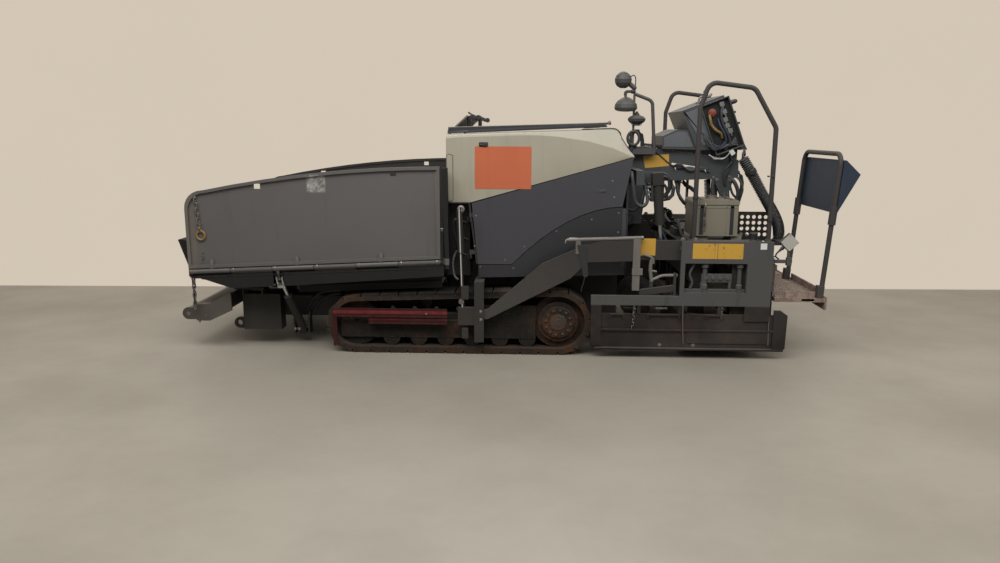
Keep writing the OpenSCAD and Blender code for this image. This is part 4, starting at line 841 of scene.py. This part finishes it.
pair("tow_guide_plates", "tractor", "frame_grey", 0.8,
     pad("y", (376, 420), (430, 520), 8, 919, 922), pad("y", (380, 130), (426, 210), 8, 919, 922),
     bolts(919, (0, 1, 0), 9, ((403, 505), (403, 440), (403, 190), (403, 150)), False))
pair("levelling_eyes", "tractor", "worn_steel", 0.8,
     lathe((430, 905, 1068), "y", [(-26, 26), (9, 26), (12, 22), (13, 13), (9, 11), (9, 2)], 24),
     lathe((430, 903, 400), "y", [(-18, 20), (10, 20), (12, 15)], 20))
pair("levelling_hoses", "tractor", "hose_rubber", 0,
     hose([(452, 895, 1000), (478, 880, 985), (490, 850, 930), (478, 800, 840), (470, 730, 760)], 8, 8),
     hose([(452, 895, 560), (482, 880, 590), (495, 840, 680), (480, 780, 740), (470, 730, 745)], 8, 8))


# Tow arms

pair("grab_tube_sleeves", "screed", "pale_metal", 0.8,
     tube([(-322, 903, 856), (-450, 903, 861), (-650, 903, 868), (-848, 903, 876)], 13.6, 14),
     pad("x", (893.5, 498), (916.5, 866), 2, -839.5, -788.5), box((-858.5, 896, 611), (-785, 921.5, 657)))
pair("grab_tube_grips", "screed", "worn_steel", 1,
     tube([(-310, 903, 832), (-316, 903, 852), (-345, 903, 866), (-380, 903, 866), (-410, 903, 862)],
          10, 10),
     lathe((-848, 903, 876), (-1, 0, 0.04), [(-6, 15.5), (8, 15.5), (12, 11)], 16),
     pad("y", (-418, 758), (-382, 850), 6, 894, 918))
pair("arm_straps", "screed", "black_rubber", 0.8,
     slab("y", [(-391, 823), (-461, 824), (-468, 700), (-474, 600), (-456, 590), (-439, 600), (-420, 700)],
          915, 919),
     hose([(-450, 917, 604), (-446, 916, 560), (-434, 915, 520), (-428, 914, 486)], 3.5, 6))
pair("arm_blank_plates", "screed", "plate_yellow", 0, pad("y", (-950, 746), (-813, 868), 4, 875, 876.2))
pair("arm_bolts", "screed", "worn_steel", 0,
     bolts(915, "y", 20, ((290, 330), (290, 270))),
     bolts(875, "y", 20, ((-1140, 860), (-1230, 860), (-1140, 800), (-1230, 800))),
     lathe((300, 915, 300), "y", [(-2, 22), (3, 22), (5, 17), (5.5, 6)], 22))


# End gates and screed extensions

for side, s in SIDES.items():
    body = f"extension_{side}"

    def outer(*points):
        return [(x, s * y, z) for x, y, z in points]

    piece(f"gate_crank_{side}", body, "pale_metal", 0,
          hose(outer((-868, 884, 752), (-905, 886, 742), (-933, 886, 722), (-936, 886, 690)), 9, 10),
          hose(outer((-925, 886, 724), (-918, 886, 670), (-922, 886, 610), (-930, 886, 560)), 13, 12),
          tube(outer((-962, 886, 632), (-905, 886, 642)), 8, 10),
          hose(outer((-925, 886, 570), (-962, 886, 585), (-1000, 886, 602), (-1060, 886, 606),
                     (-1102, 886, 606)), 11, 10),
          lathe((-1100, s * 886, 606), (-1, 0, 0), [(-4, 14), (8, 14), (12, 9)], 14))
    piece(f"gate_bar_{side}", body, "arm_grey", 1.5,
          slab("y", [(-841, 462), (-841, 500), (-860, 506), (-1082, 537), (-1089, 493), (-893, 462)],
               s * 878, s * 902),
          slab("y", [(-1102, 462), (-1082, 462), (-1082, 622), (-1088, 628), (-1102, 622)],
               s * 876, s * 902),
          slab("y", [(-940, 500), (-912, 498), (-914, 566), (-940, 568)], s * 878, s * 894))
    piece(f"gate_adjusters_{side}", body, "screed_grey", 1.2,
          slab("y", [(-1588, 486), (-1158, 486), (-1158, 512), (-1588, 512)], s * 884, s * 902),
          each(lathe((x, s * 892, 512), "z",
                     [(0, 22), (30, 22), (36, 16), (150, 16), (156, 26), (176, 26), (184, 18)], 16)
               + bolt((x, s * 903, 497), (0, s, 0), 20) for x in (-1302, -1546)),
          slab("y", [(-1492, 560), (-1279, 560), (-1279, 622), (-1492, 622)], s * 886, s * 898),
          each(bolt((x, s * 898, 591), (0, s, 0), 22) for x in (-1310, -1360, -1410, -1460)),
          each(tube(outer((x, 893, 500), (x, 893, 560)), 12, 10) for x in (-1285, -1480)),
          hose(outer((-1200, 892, 510), (-1215, 896, 560), (-1195, 896, 620), (-1225, 892, 690)), 8, 8))
    piece(f"gate_chains_{side}", body, "worn_steel", 0,
          chain((-812, s * 917, 392), (-800, s * 917, 215), 36, 21, 5),
          chain((-1433, s * 917, 396), (-1433, s * 917, 300), 30, 18, 4.5),
          each(lathe((x, s * 912, z), (0, s, 0), [(-4, 9), (8, 9), (9, 5)], 12)
               for x, z in ((-812, 398), (-1433, 402))),
          tube(helix((-958, s * 917, 370), (-1046, s * 917, 372), 6, 14), 1.8, 6),
          tube(outer((-1152, 921.5, 412), (-1158, 921.5, 260), (-1168, 921.5, 108)), 4.5, 8),
          tube(outer((-1767, 918, 322), (-1769, 918, 200), (-1772, 918, 108)), 4.5, 8))
    piece(f"gate_bolts_{side}", body, "worn_steel", 0,
          bolts(s * 919, (0, s, 0), 8, ((-1145, 830), (-1145, 420), (-1745, 830), (-1745, 470), (-1145, 700),
                                        (-600, 428), (-760, 428), (-940, 428), (-1560, 428)), False),
          bolts(s * 914, (0, s, 0), 16, ((-540, 360), (-540, 130), (-1840, 330), (-1840, 120),
                                         (-1000, 100), (-1240, 100))))


# Walkway and rear rail

for side, s in SIDES.items():
    body = f"extension_{side}"
    piece(f"walkway_tread_{side}", body, "walkway_dust", 0,
          each(tread(-1826 - k * 30, s * (40 + m * 35.5), (k + m) % 2, 11, WALKWAY_TOP)
               for k in range(11) for m in range(24)))
    piece(f"walkway_slots_{side}", body, "black_gap", 0,
          each(pad("x", (s * y - 45, 395), (s * y + 45, 420), 10, -2168.6, -2169)
               for y in (120, 330, 540, 750)),
          pad("y", (-2080, 433), (-1990, 449), 7, s * 900.4, s * 901))
    piece(f"walkway_bolts_{side}", body, "worn_steel", 0,
          each(bolt((-1815, s * y, 455), "z", 14) for y in (60, 300, 560, 850)))
piece("rail_fittings", "extension_left", "rail_brown", 0,
      each(bolt((-2118, y, 500), (1, 0, 0), 14) + bolt((-2118, y, 475), (1, 0, 0), 14) for y in (160, 875)))


# Tank, deck, junction box and handrails

piece("tank_fittings", "screed", "worn_steel", 0.8,
      each(pad("x", (y - 16, 1030), (y + 16, 1100), 5, -1590.5, -1586) for y in (360, 590)),
      pad("y", (-1352, 890), (-1330, 1000), 5, 619.5, 623),
      hose([(-1341, 624, 1000), (-1341, 634, 1030), (-1341, 636, 1075), (-1341, 627, 1096)], 5, 8),
      tube([(-1341, 622, 940), (-1341, 642, 944), (-1341, 642, 975), (-1341, 622, 980)], 5, 8),
      lathe((-1420, 470, 1121), "z", [(-2, 46), (6, 46), (9, 40), (20, 40), (24, 34)], 24),
      hose([(-1500, 400, 1121), (-1500, 400, 1142), (-1500, 470, 1150), (-1500, 540, 1142),
            (-1500, 540, 1121)], 6, 8))
piece("tank_ribs", "screed", "tank_pale", 1,
      each(pad("x", (328, 866), (622, 1080), 10, x - 4, x + 4) for x in (-1500, -1340)),
      pad("y", (-1580, 1060), (-1262, 1075), 4, 619, 622))
piece("tank_straps", "screed", "black_rubber", 0.5,
      each(box((x - 13, y0, z0), (x + 13, y1, z1)) for x in (-1320, -1540) for y0, z0, y1, z1 in
           ((327.5, 866, 330.5, 1086), (327.5, 1121, 622.5, 1122.5), (619.5, 866, 622, 1086))))
piece("deck_valves", "screed", "black_metal", 1.5,
      each(box((-1264, y - 46, 811), (-1196, y + 46, 905))
           + lathe((-1230, y, 905), "z", [(-1, 26), (40, 26), (44, 18), (60, 18)], 16)
           + lathe((-1196, y, 860), "x", [(-1, 14), (16, 14), (18, 9), (30, 9)], 12)
           for y in (-420, -300, -180)),
      each(lathe((-1700, y, 811), "z", [(0, 40), (20, 40), (24, 30), (70, 30), (76, 22)], 20)
           for y in (-640, 640)),
      box((-1260, 90, 811), (-1190, 300, 870)),
      each(lathe((-1225, y, 870), "z", [(-1, 15), (14, 15), (17, 9), (34, 9), (37, 5)], 12)
           for y in (120, 165, 210, 255)))
piece("deck_pipes", "screed", "hose_rubber", 0,
      hose([(-1196, -420, 860), (-1170, -440, 862), (-1150, -520, 830), (-1210, -640, 828),
            (-1400, -660, 826), (-1700, -645, 826)], 12, 8),
      hose([(-1225, 255, 906), (-1225, 262, 922), (-1212, 300, 925), (-1205, 420, 880), (-1215, 560, 828),
            (-1300, 660, 824), (-1560, 665, 824), (-1700, 645, 824)], 11, 8),
      hose([(-1225, 165, 904), (-1212, 150, 908), (-1190, 60, 896), (-1190, -140, 930), (-1230, -180, 966)],
           9, 8))
piece("deck_treads", "screed", "walkway_dust", 0,
      each(tread(x, y, (k + m) % 2, 14, DECK_TOP)
           for k, x in enumerate(range(-1205, -1866, -44)) for m, y in enumerate(range(-770, -285, 44))
           if not (-1290 < x < -1180 and y > -500)))
for side, s in SIDES.items():
    piece(f"junction_lid_{side}", f"extension_{side}", "junction_grey", 1.5,
          pad("y", (-1921, 807), (-1831, 897), 8, s * 908.5, s * 914),
          each(lathe((x, s * 914, z), (0, s, 0), [(-1, 5), (1.5, 5), (2.5, 3)], 10)
               for x in (-1914, -1838) for z in (814, 890)),
          turn=about_y((-1876, 0, 852), 45))
    piece(f"junction_gland_{side}", f"extension_{side}", "black_rubber", 0,
          lathe((-1838, s * 889, 814), (1, 0, -1), [(-10, 13), (14, 13), (18, 9), (34, 8)], 14),
          hose([(-1814, s * 889, 790), (-1796, s * 889, 770), (-1790, s * 894, 750), (-1812, s * 900, 732)],
               6, 8))
pair("handrail_feet", "screed", "rail_brown", 0.8,
     each(lathe((x, 700, 812), "z", [(-1, 40), (8, 40), (11, 28), (30, 24), (34, 18)], 20)
          + each(bolt((x + dx, 700 + dy, 816), "z", 10, False)
                 for dx, dy in ((-28, -28), (28, -28), (28, 28), (-28, 28))) for x in (-1251, -1790)),
     lathe((-1787, 718, 1299), "y", [(-6, 9), (6, 9), (8, 6)], 6),
     tube([(-1768, 700, 1299), (-1752, 700, 1300)], 6, 8))
pair("handrail_clips", "screed", "black_rubber", 1,
     lathe((-1251, 700, 1142), "z", [(-10, 20), (10, 20)], 14),
     lathe((-1790, 700, 980), "z", [(-10, 20), (10, 20)], 14))

path = smooth(CONDUIT_ROUTE, 30)
made = piece("corrugated_conduit", "screed", "hose_rubber", 0,
             tube(path, [41.5 if k % 4 < 2 else 34.5 for k in range(len(path))], 20), angle=60)
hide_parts("conduit")
piece("conduit_clamps", "screed", "black_metal", 1,
      lathe((-1880, 640, 812), "z", [(0, 50), (26, 50), (29, 44)], 24),
      lathe((-1704, 450, 1315), (0.53, 0, 0.84), [(-16, 43.5), (16, 43.5)], 24),
      pad("y", (-1726, 1300), (-1682, 1330), 6, 400, 500))
made = piece("conduit_wires", None, "hose_rubber", 0,
             each(hose([(-1655, 440 + 6 * k, 1395), (-1640, 432 + 4 * k, 1428 + 3 * k),
                        (-1660, 385, 1452 + 6 * k), (-1686, 335 - 4 * k, 1440 + 8 * k),
                        (-1672, 302, 1410 + 10 * k)], 5.5, 6) for k in range(5)))
tuple(at(-1680, 320, 1430))
tuple(at(-1650, 435, 1420))
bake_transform(made)


# Operator's console

pair("console_side_panels", "tractor", "console_pale", 1,
     slab("y", console_outline([(318, 8), (318, 24), (196, 24), (196, 330), (262, 300)]), 299, 304),
     each(lathe(console_at(u, v, 304), "y", [(-1, 5), (2, 5), (3, 3)], 10)
          for u, v in ((205, 40), (300, 34), (205, 300), (250, 290))))
piece("console_box_back", "tractor", "black_gap", 0,
      slab("y", console_outline([(-20, 24), (190, 24), (190, 400), (-20, 400)]), 299, 300.5))
pair("console_box_walls", "tractor", "console_grey", 1.5,
     each(slab("y", console_outline([(u0, v0), (u1, v0), (u1, v1), (u0, v1)]), 296, 330)
          for u0, v0, u1, v1 in ((-28, 16, 196, 24), (-28, 400, 196, 410), (-28, 16, -18, 408),
                                 (188, 16, 196, 408))))
piece("console_box_cover", "tractor", "console_grey", 1,
      slab("y", console_outline([(-24, 20), (192, 20), (192, 405), (-24, 405)]), -331, -328),
      each(lathe(console_at(u, v, -331), (0, -1, 0), [(-1, 8), (4, 8), (6, 5)], 10)
           for v in (60, 350) for u in (10, 160)))
piece("console_red_disc", "tractor", "disc_red", 0,
      lathe(console_at(124, 94, 300), "y", [(0, 27), (10, 31), (14, 29), (15, 23), (22, 19), (24, 11)], 28))
for name, finish, radius, route in (
        ("console_yellow_cable", "cable_yellow", 11,
         ((150, 100, 316), (156, 140, 324), (158, 180, 322), (140, 226, 324), (112, 262, 318),
          (108, 300, 306))),
        ("console_blue_cable", "cable_blue", 8,
         ((96, 150, 308), (100, 210, 322), (88, 270, 326), (96, 330, 322), (140, 372, 314), (186, 366, 306))),
        ("console_dark_cable", "hose_rubber", 9,
         ((30, 60, 306), (64, 120, 322), (78, 200, 326), (66, 290, 326), (70, 350, 322), (120, 392, 312)))):
    piece(name, "tractor", finish, 0, hose([console_at(*p) for p in route], radius, 10))
piece("console_loom", "tractor", "hose_rubber", 0,
      each(hose([console_at(236 - 5 * k, 210 + 9 * k, 304),
                 console_at(226 + wave, 270 + 6 * k, 316 + k % 3 * 5),
                 console_at(190 - wave, 330 + 4 * k, 322 + k % 3 * 5),
                 console_at(130 + 4 * k, 366 - wave / 2, 320 + k % 4 * 4),
                 console_at(60 + wave, 352 + 3 * k, 318), console_at(14, 330 + 8 * k, 306)], 5.5 + k % 3, 8)
           for k, wave in ((k, 9 * math.sin(k * 2.1)) for k in range(9))))
piece("console_blue_loom", "tractor", "cable_blue", 0,
      each(hose([console_at(230 - 8 * k, 250 + 12 * k, 308), console_at(200, 310 + 10 * k, 334 - 3 * k),
                 console_at(150 + 6 * k, 350, 336), console_at(96, 330 + 9 * k, 318)], 4.5, 8)
           for k in range(4)))
piece("console_plugs", "tractor", "plug_grey", 2,
      each(slab("y", console_outline([(u + du, v + dv) for du, dv in PLUG]), 300, 322)
           + lathe(console_at(u, v + 14, 311), CONSOLE_DOWN, [(-1, 9), (12, 9), (13, 6), (24, 6)], 12)
           for u, v in ((38, 60), (38, 119), (48, 178), (48, 226), (39, 270))))
piece("console_levers", "tractor", "black_rubber", 0,
      hose([(-1536, 240, 1812), (-1560, 240, 1826), (-1580, 240, 1832)], 12, 12),
      lathe((-1580, 240, 1832), (-1, 0, 0.30), [(-2, 17), (10, 18), (34, 16), (44, 11), (48, 5)], 16),
      lathe((-1561, 60, 1750), (-1, 0, 0.39),
            [(-2, 20), (14, 20), (18, 13), (46, 13), (56, 17), (66, 10)], 16),
      each(lathe((-1566, y, 1735), CONSOLE_BACK, [(-2, 9), (16, 7), (20, 12), (36, 13), (42, 8)], 14)
           for y in (-240, -170, -100, -30)),
      each(lathe(console_at(0, v, y), CONSOLE_BACK,
                 [(-2, 11), (10, 11), (13, 8), (24, 8), (27, 12), (34, 9)], 14)
           for v, y in ((150, 200), (240, 120), (240, -60), (330, -200))),
      each(lathe(p, (-1, 0, 0.3), [(-30, 5), (0, 5), (2, 9), (14, 9), (17, 5)], 12)
           for p in ((-1598, 262, 1758), (-1634, 262, 1676))))
screen = [console_at(-1.5, v, y) for v, y in SCREEN]
piece("console_screen", "tractor", "lens_glass", 0,
      skin([screen, [(x - 1.5, y, z + 0.6) for x, y, z in screen]]))
piece("console_screen_frame", "tractor", "black_metal", 1.2,
      each(skin([line, [(x - 9, y, z + 3.5) for x, y, z in line]]) for line in (
          [console_at(0.5, v, y) for v, y in ((v0, y0), (v0, y1), (v1, y1), (v1, y0))]
          for v0, y0, v1, y1 in ((30, -130, 40, 90), (170, -130, 180, 90), (30, -130, 180, -120),
                                 (30, 80, 180, 90)))))
piece("console_top_hook", "tractor", "worn_steel", 1,
      hose([(-1362, 100, 1830), (-1373, 100, 1872), (-1405, 100, 1882), (-1440, 100, 1880),
            (-1462, 100, 1902)], 9, 10),
      slab("y", [(-1345, 1822), (-1400, 1842), (-1396, 1856), (-1345, 1838)], 84, 116))
piece("paddle_edges", "tractor", "console_pale", 0,
      tube([(-1610, 175, 1632), (-1645, 175, 1649), (-1738, 175, 1478), (-1660, 175, 1477)], 4, 8))
piece("console_tags", "tractor", "sticker_white", 0,
      slab("y", [(-1561, 1467), (-1590, 1482), (-1612, 1452), (-1586, 1432)], 336, 337.5),
      slab("y", [(-1418, 1440), (-1465, 1418), (-1526, 1416), (-1550, 1424), (-1528, 1402), (-1462, 1404)],
           296, 298),
      hose([(-1420, 297, 1440), (-1470, 300, 1412), (-1530, 302, 1410), (-1562, 318, 1440),
            (-1572, 336, 1466)], 4, 8))
piece("console_pod_trim", "tractor", "console_pale", 1.2,
      slab("y", [(-1076, 1496), (-1076, 1566), (-1180, 1612), (-1250, 1606), (-1300, 1496)], 289, 293))
pair("console_pod_bolts", "tractor", "worn_steel", 0,
     each(bolt((x, 245, 1481), "z", 16) for x in (-1100, -1280)))


# Swan-neck beam, its cables and the hoses under it

piece("beam_blank_plates", "tractor", "plate_yellow", 0,
      slab("y", BEAM_PLATE, 250, 251.4), slab("y", BEAM_PLATE, -151.4, -150))
piece("beam_coil_cord", "tractor", "hose_rubber", 0,
      tube(helix((-930, 200, 1508), (-1090, 200, 1492), 13, 15), 4, 6))
piece("beam_wires", "tractor", "hose_rubber", 0,
      hose([(-1016, 256, 1464), (-1050, 256, 1438), (-1080, 256, 1411), (-1120, 256, 1378),
            (-1160, 252, 1352), (-1200, 240, 1352)], 5, 8),
      each(hose([(-1160, 250 + k * 5, 1352), (-1210, 258 + k * 4, 1330 + k * 9),
                 (-1290, 256 + k * 3, 1342 - k * 7), (-1380, 258, 1318 + k * 6),
                 (-1440, 250 + k * 4, 1308)], 6 + k % 2 * 2, 8) for k in range(5)),
      each(hose([(-1590 - k * 5, 254, 1440 - k * 8), (-1600, 262 + 5 * k, 1380), (-1580 + 9 * k, 268, 1310),
                 (-1560, 262, 1250 - 10 * k), (-1570, 254, 1200)], 7, 8) for k in range(4)))
piece("beam_white_ties", "tractor", "sticker_white", 0,
      each(tube([(x - 6, 258, z - 12), (x, 270, z), (x + 5, 258, z + 12)], 4, 6)
           for x, z in ((-1178, 1330), (-1570, 1306), (-1409, 1313))))
piece("beam_hanging_hoses", "tractor", "hose_rubber", 0, each(hose(*row, 10, steps=7) for row in (
    ([(-985, 262, 1210), (-1010, 275, 1120), (-1070, 285, 1100), (-1130, 280, 1160), (-1150, 262, 1238)], 15),
    ([(-1030, 300, 1244), (-1070, 310, 1270), (-1120, 300, 1255), (-1130, 290, 1180), (-1090, 285, 1100),
      (-1040, 282, 1090)], 12),
    ([(-1020, 322, 1200), (-1060, 345, 1222), (-1100, 340, 1190), (-1110, 330, 1110),
      (-1075, 325, 1092)], 10),
    ([(-1200, 210, 1240), (-1215, 230, 1140), (-1260, 235, 1070), (-1300, 165, 1045)], 13),
    ([(-1230, 190, 1240), (-1228, 200, 1120), (-1262, 190, 1066), (-1300, 155, 1035)], 9),
    ([(-1480, 240, 1262), (-1476, 252, 1150), (-1510, 258, 1085), (-1562, 250, 1100),
      (-1575, 225, 1180)], 16),
    ([(-1600, 240, 1270), (-1642, 262, 1220), (-1668, 270, 1140), (-1640, 262, 1072), (-1600, 250, 1100),
      (-1590, 225, 1200)], 15),
    ([(-1620, 220, 1290), (-1676, 250, 1250), (-1700, 270, 1170), (-1672, 262, 1110), (-1630, 250, 1140),
      (-1602, 225, 1240)], 9))))
piece("beam_spiral_cords", "tractor", "hose_rubber", 0,
      each(tube(helix((x, 190, 1252), (x - 12, 190, low), 15, 13), 4, 6)
           + hose([(x - 12, 190, low), (x - 14, 186, low - 18), (x - 26, 176, low - 12),
                   (x - 30, 168, low + 40), (x - 20, 160, 1254)], 4, 6)
           for x, low in ((-1436, 1100), (-1500, 1090))))
piece("hose_fittings", "tractor", "worn_steel", 0,
      each(lathe(p, "z", [(-22, 15), (-4, 15), (-2, 19), (12, 19)], 6)
           for p in ((-1030, 300, 1240), (-1020, 322, 1204), (-1200, 210, 1236), (-1230, 190, 1236),
                     (-1480, 240, 1262), (-1600, 240, 1268), (-985, 262, 1212))),
      each(lathe((-990, 292, z), "x", [(-2, 14), (10, 14), (12, 10), (24, 10)], 6)
           for z in (1110, 1150, 1190)))
piece("beam_bolts", "tractor", "worn_steel", 0,
      bolts(250, "y", 18, ((-790, 1385), (-790, 1300), (-790, 1130), (-790, 980), (-1610, 1245),
                           (-1500, 1245), (-1575, 1110))))
pair("mast_hoses", "tractor", "hose_rubber", 0,
     hose([(-775, 760, 1325), (-778, 800, 1300), (-790, 812, 1200), (-806, 812, 1120), (-850, 812, 1088),
           (-888, 806, 1122), (-880, 790, 1200), (-862, 770, 1256)], 13, 10),
     hose([(-760, 700, 1060), (-800, 740, 1052), (-840, 770, 1090), (-866, 780, 1180), (-870, 770, 1250)],
          10, 8))
made = piece("screed_supply_hose", None, "cable_blue", 0,
             hose([(-1040, 334, 1120), (-1010, 420, 1110), (-985, 560, 1060), (-1021, 600, 932),
                   (-1070, 612, 820), (-1120, 640, 760), (-1178, 650, 752)], 8, 8, steps=8))
tuple(at(-985, 560, 1060))
tuple(at(-1120, 640, 760))
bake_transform(made)


# Lamps

piece("lamp_lenses", "tractor", "lens_glass", 0,
      lathe((-710, 300, 1978), (0.94, 0, -0.34), [(-2, 44), (4, 42), (10, 30), (13, 12)], 28),
      lathe((-776, 300, 1769), (0, 0, -1), [(-2, 78), (4, 72), (10, 50), (13, 16)], 32),
      lathe((-861, 300, 1661), (0, 0, -1), [(-2, 40), (3, 38), (8, 22)], 24))
piece("lamp_fittings", "tractor", "black_metal", 0.8,
      hose([(-800, 300, 2010), (-826, 300, 2026), (-842, 300, 2006), (-842, 300, 1950), (-838, 300, 1930)],
           4, 8),
      hose([(-776, 300, 1866), (-776, 300, 1892), (-790, 300, 1902), (-822, 300, 1902)], 6, 8),
      lathe((-822, 300, 1906), "x", [(-20, 15), (8, 15), (12, 10)], 14),
      lathe((-838, 300, 1934), "z", [(-8, 14), (8, 14), (12, 9)], 14),
      lathe((-861, 300, 1734), "z", [(-4, 22), (8, 20), (14, 12), (26, 10)], 16),
      bolt((-838, 308, 1690), "y", 12), bolt((-838, 308, 1500), "y", 12),
      pad("y", (-868, 1478), (-808, 1520), 6, 290, 310))
piece("mast_rings", "tractor", "hose_rubber", 0,
      tube(circle((-838, 330, 1560), 44, 52, range(0, 360, 20)), 11, 10, closed=True),
      hose([(-838, 322, 1512), (-826, 318, 1460), (-840, 300, 1430), (-836, 262, 1400)], 11, 8))


# The chassis' underside and rear

pair("chassis_bolts", "tractor", "under_mud", 0,
     each(bolt((x, 589.5, 500 if x < 1300 else 230), "y", 20)
          for x in (-450, -250, 100, 350, 800, 1100, 1400)))
pair("auger_hanger_plates", "tractor", "frame_grey", 1.5,
     slab("y", [(-757, 640), (-757, 905), (-1000, 905), (-1078, 770), (-1096, 560), (-1062, 432),
                (-975, 428), (-935, 560), (-880, 640)], 64, 84),
     each(tube([(x, 0, z), (x, 64, z)], 24, 14) for x, z in ((-990, 850), (-1050, 700), (-1040, 500))),
     bolts(84, "y", 20, ((-800, 870), (-800, 680))))
piece("chassis_lines", "tractor", "hose_rubber", 0,
      each(hose([(-600, s * 420, 648), (-300, s * 430, 646), (0, s * 410, 646), (300, s * 430, 648),
                 (520, s * 400, 646)], 11, 8)
           + hose([(-620, s * 380, 648), (-280, s * 386, 646), (40, s * 372, 646), (320, s * 386, 648),
                   (520, s * 370, 646)], 9, 8) for s in (1, -1)))


# Floor, backdrop, lights and camera

FLOOR_CORNERS = [(-30, -30, 0), (30, -30, 0), (30, 30, 0), (-30, 30, 0)]
BACKDROP_CORNERS = [(14, -1.1, 0), (-14, -2.08, 0), (-14, -2.08, 7), (14, -1.1, 7)]
ROOM_COLOUR = (0.80, 0.78, 0.74, 1)
ROOM_LIGHT = 0.34
CAMERA_PLACE = (-0.125, 6.316, 1.61)
CAMERA_LENS = 27.72
PITCH, YAW, ROLL = (math.radians(degrees) for degrees in (11.06, 2.0, 0.25))


def plain_stage():
    floor = Finish("pale_floor", 0.7)
    blotches = floor.cloud(0.8, 5, 0.6)
    grain = floor.cloud(14, 5, 0.7)
    share = (blotches.band(0.35, 0.7) * 0.6 + grain * 0.3).least(1.0)
    tone = floor.mix(share, (0.285, 0.258, 0.212), (0.215, 0.192, 0.155))
    floor.set(Base_Color=tone, Roughness=blotches * 0.25 + 0.3)
    wall = Finish("pale_wall", 0.9)
    wall.set(Base_Color=(0.62, 0.56, 0.47))
    glow = wall.mix(wall.cloud(0.5, 3) * 0.5, (0.66, 0.575, 0.475), (0.62, 0.54, 0.44))
    shown = wall.node("Emission", Color=glow)
    seen = wall.node("LightPath", out="Is Camera Ray").most(wall.node("LightPath", out="Is Glossy Ray"))
    seen = seen.most(wall.node("LightPath", out="Is Transmission Ray"))
    front = wall.node("MixShader", _0=seen, _1=Value(wall, wall.shader.outputs[0]), _2=shown)
    back = wall.node("NewGeometry", out="Backfacing")
    both = wall.node("MixShader", _0=back, _1=front, _2=wall.node("BsdfTransparent"))
    wall.tree.links.new(both.socket, wall.output.inputs["Surface"])
    for name, corners, finish in (("floor", FLOOR_CORNERS, floor), ("backdrop", BACKDROP_CORNERS, wall)):
        mesh = bpy.data.meshes.new(name)
        mesh.from_pydata(corners, [], [(0, 1, 2, 3)])
        mesh.materials.append(finish.material)
        made = bpy.data.objects.new(name, mesh)
        bpy.context.scene.collection.objects.link(made)
        made.visible_shadow = False


def lamp(name, where, aim, size, power):
    data = bpy.data.lights.new(name, "AREA")
    data.shape = "RECTANGLE"
    data.size, data.size_y = size
    data.energy = power
    made = bpy.data.objects.new(name, data)
    made.location = where
    made.rotation_mode = "QUATERNION"
    made.rotation_quaternion = (Vector(aim) - Vector(where)).to_track_quat("-Z", "Y")
    bpy.context.scene.collection.objects.link(made)


def set_camera():
    ahead = Vector((math.sin(YAW) * math.cos(PITCH), -math.cos(YAW) * math.cos(PITCH), -math.sin(PITCH)))
    flat = ahead.cross(Vector((0, 0, 1))).normalized()
    upright = flat.cross(ahead)
    right = math.cos(ROLL) * flat + math.sin(ROLL) * upright
    up = math.cos(ROLL) * upright - math.sin(ROLL) * flat
    data = bpy.data.cameras.new("photo_camera")
    data.sensor_width = 36
    data.lens = CAMERA_LENS
    made = bpy.data.objects.new("photo_camera", data)
    turn = Matrix((right, up, -ahead)).transposed().to_4x4()
    made.matrix_world = Matrix.Translation(CAMERA_PLACE) @ turn
    bpy.context.scene.collection.objects.link(made)
    bpy.context.scene.camera = made


plain_stage()
lamp("ceiling_key", (1.5, 4.2, 5.5), (0.2, 0.3, 0.8), (6, 3.0), 420)
lamp("ceiling_fill", (-4.0, 3.5, 5.0), (-0.5, 0.2, 0.8), (4, 3), 170)
lamp("ceiling_back", (0.0, -4.5, 5.5), (0, 0, 0.8), (6, 2.5), 170)
world = bpy.data.worlds.new("soft_room")
bpy.context.scene.world = world
world.use_nodes = True
world.node_tree.nodes["Background"].inputs[0].default_value = ROOM_COLOUR
world.node_tree.nodes["Background"].inputs[1].default_value = ROOM_LIGHT
bpy.context.scene.view_settings.view_transform = "Standard"
set_camera()
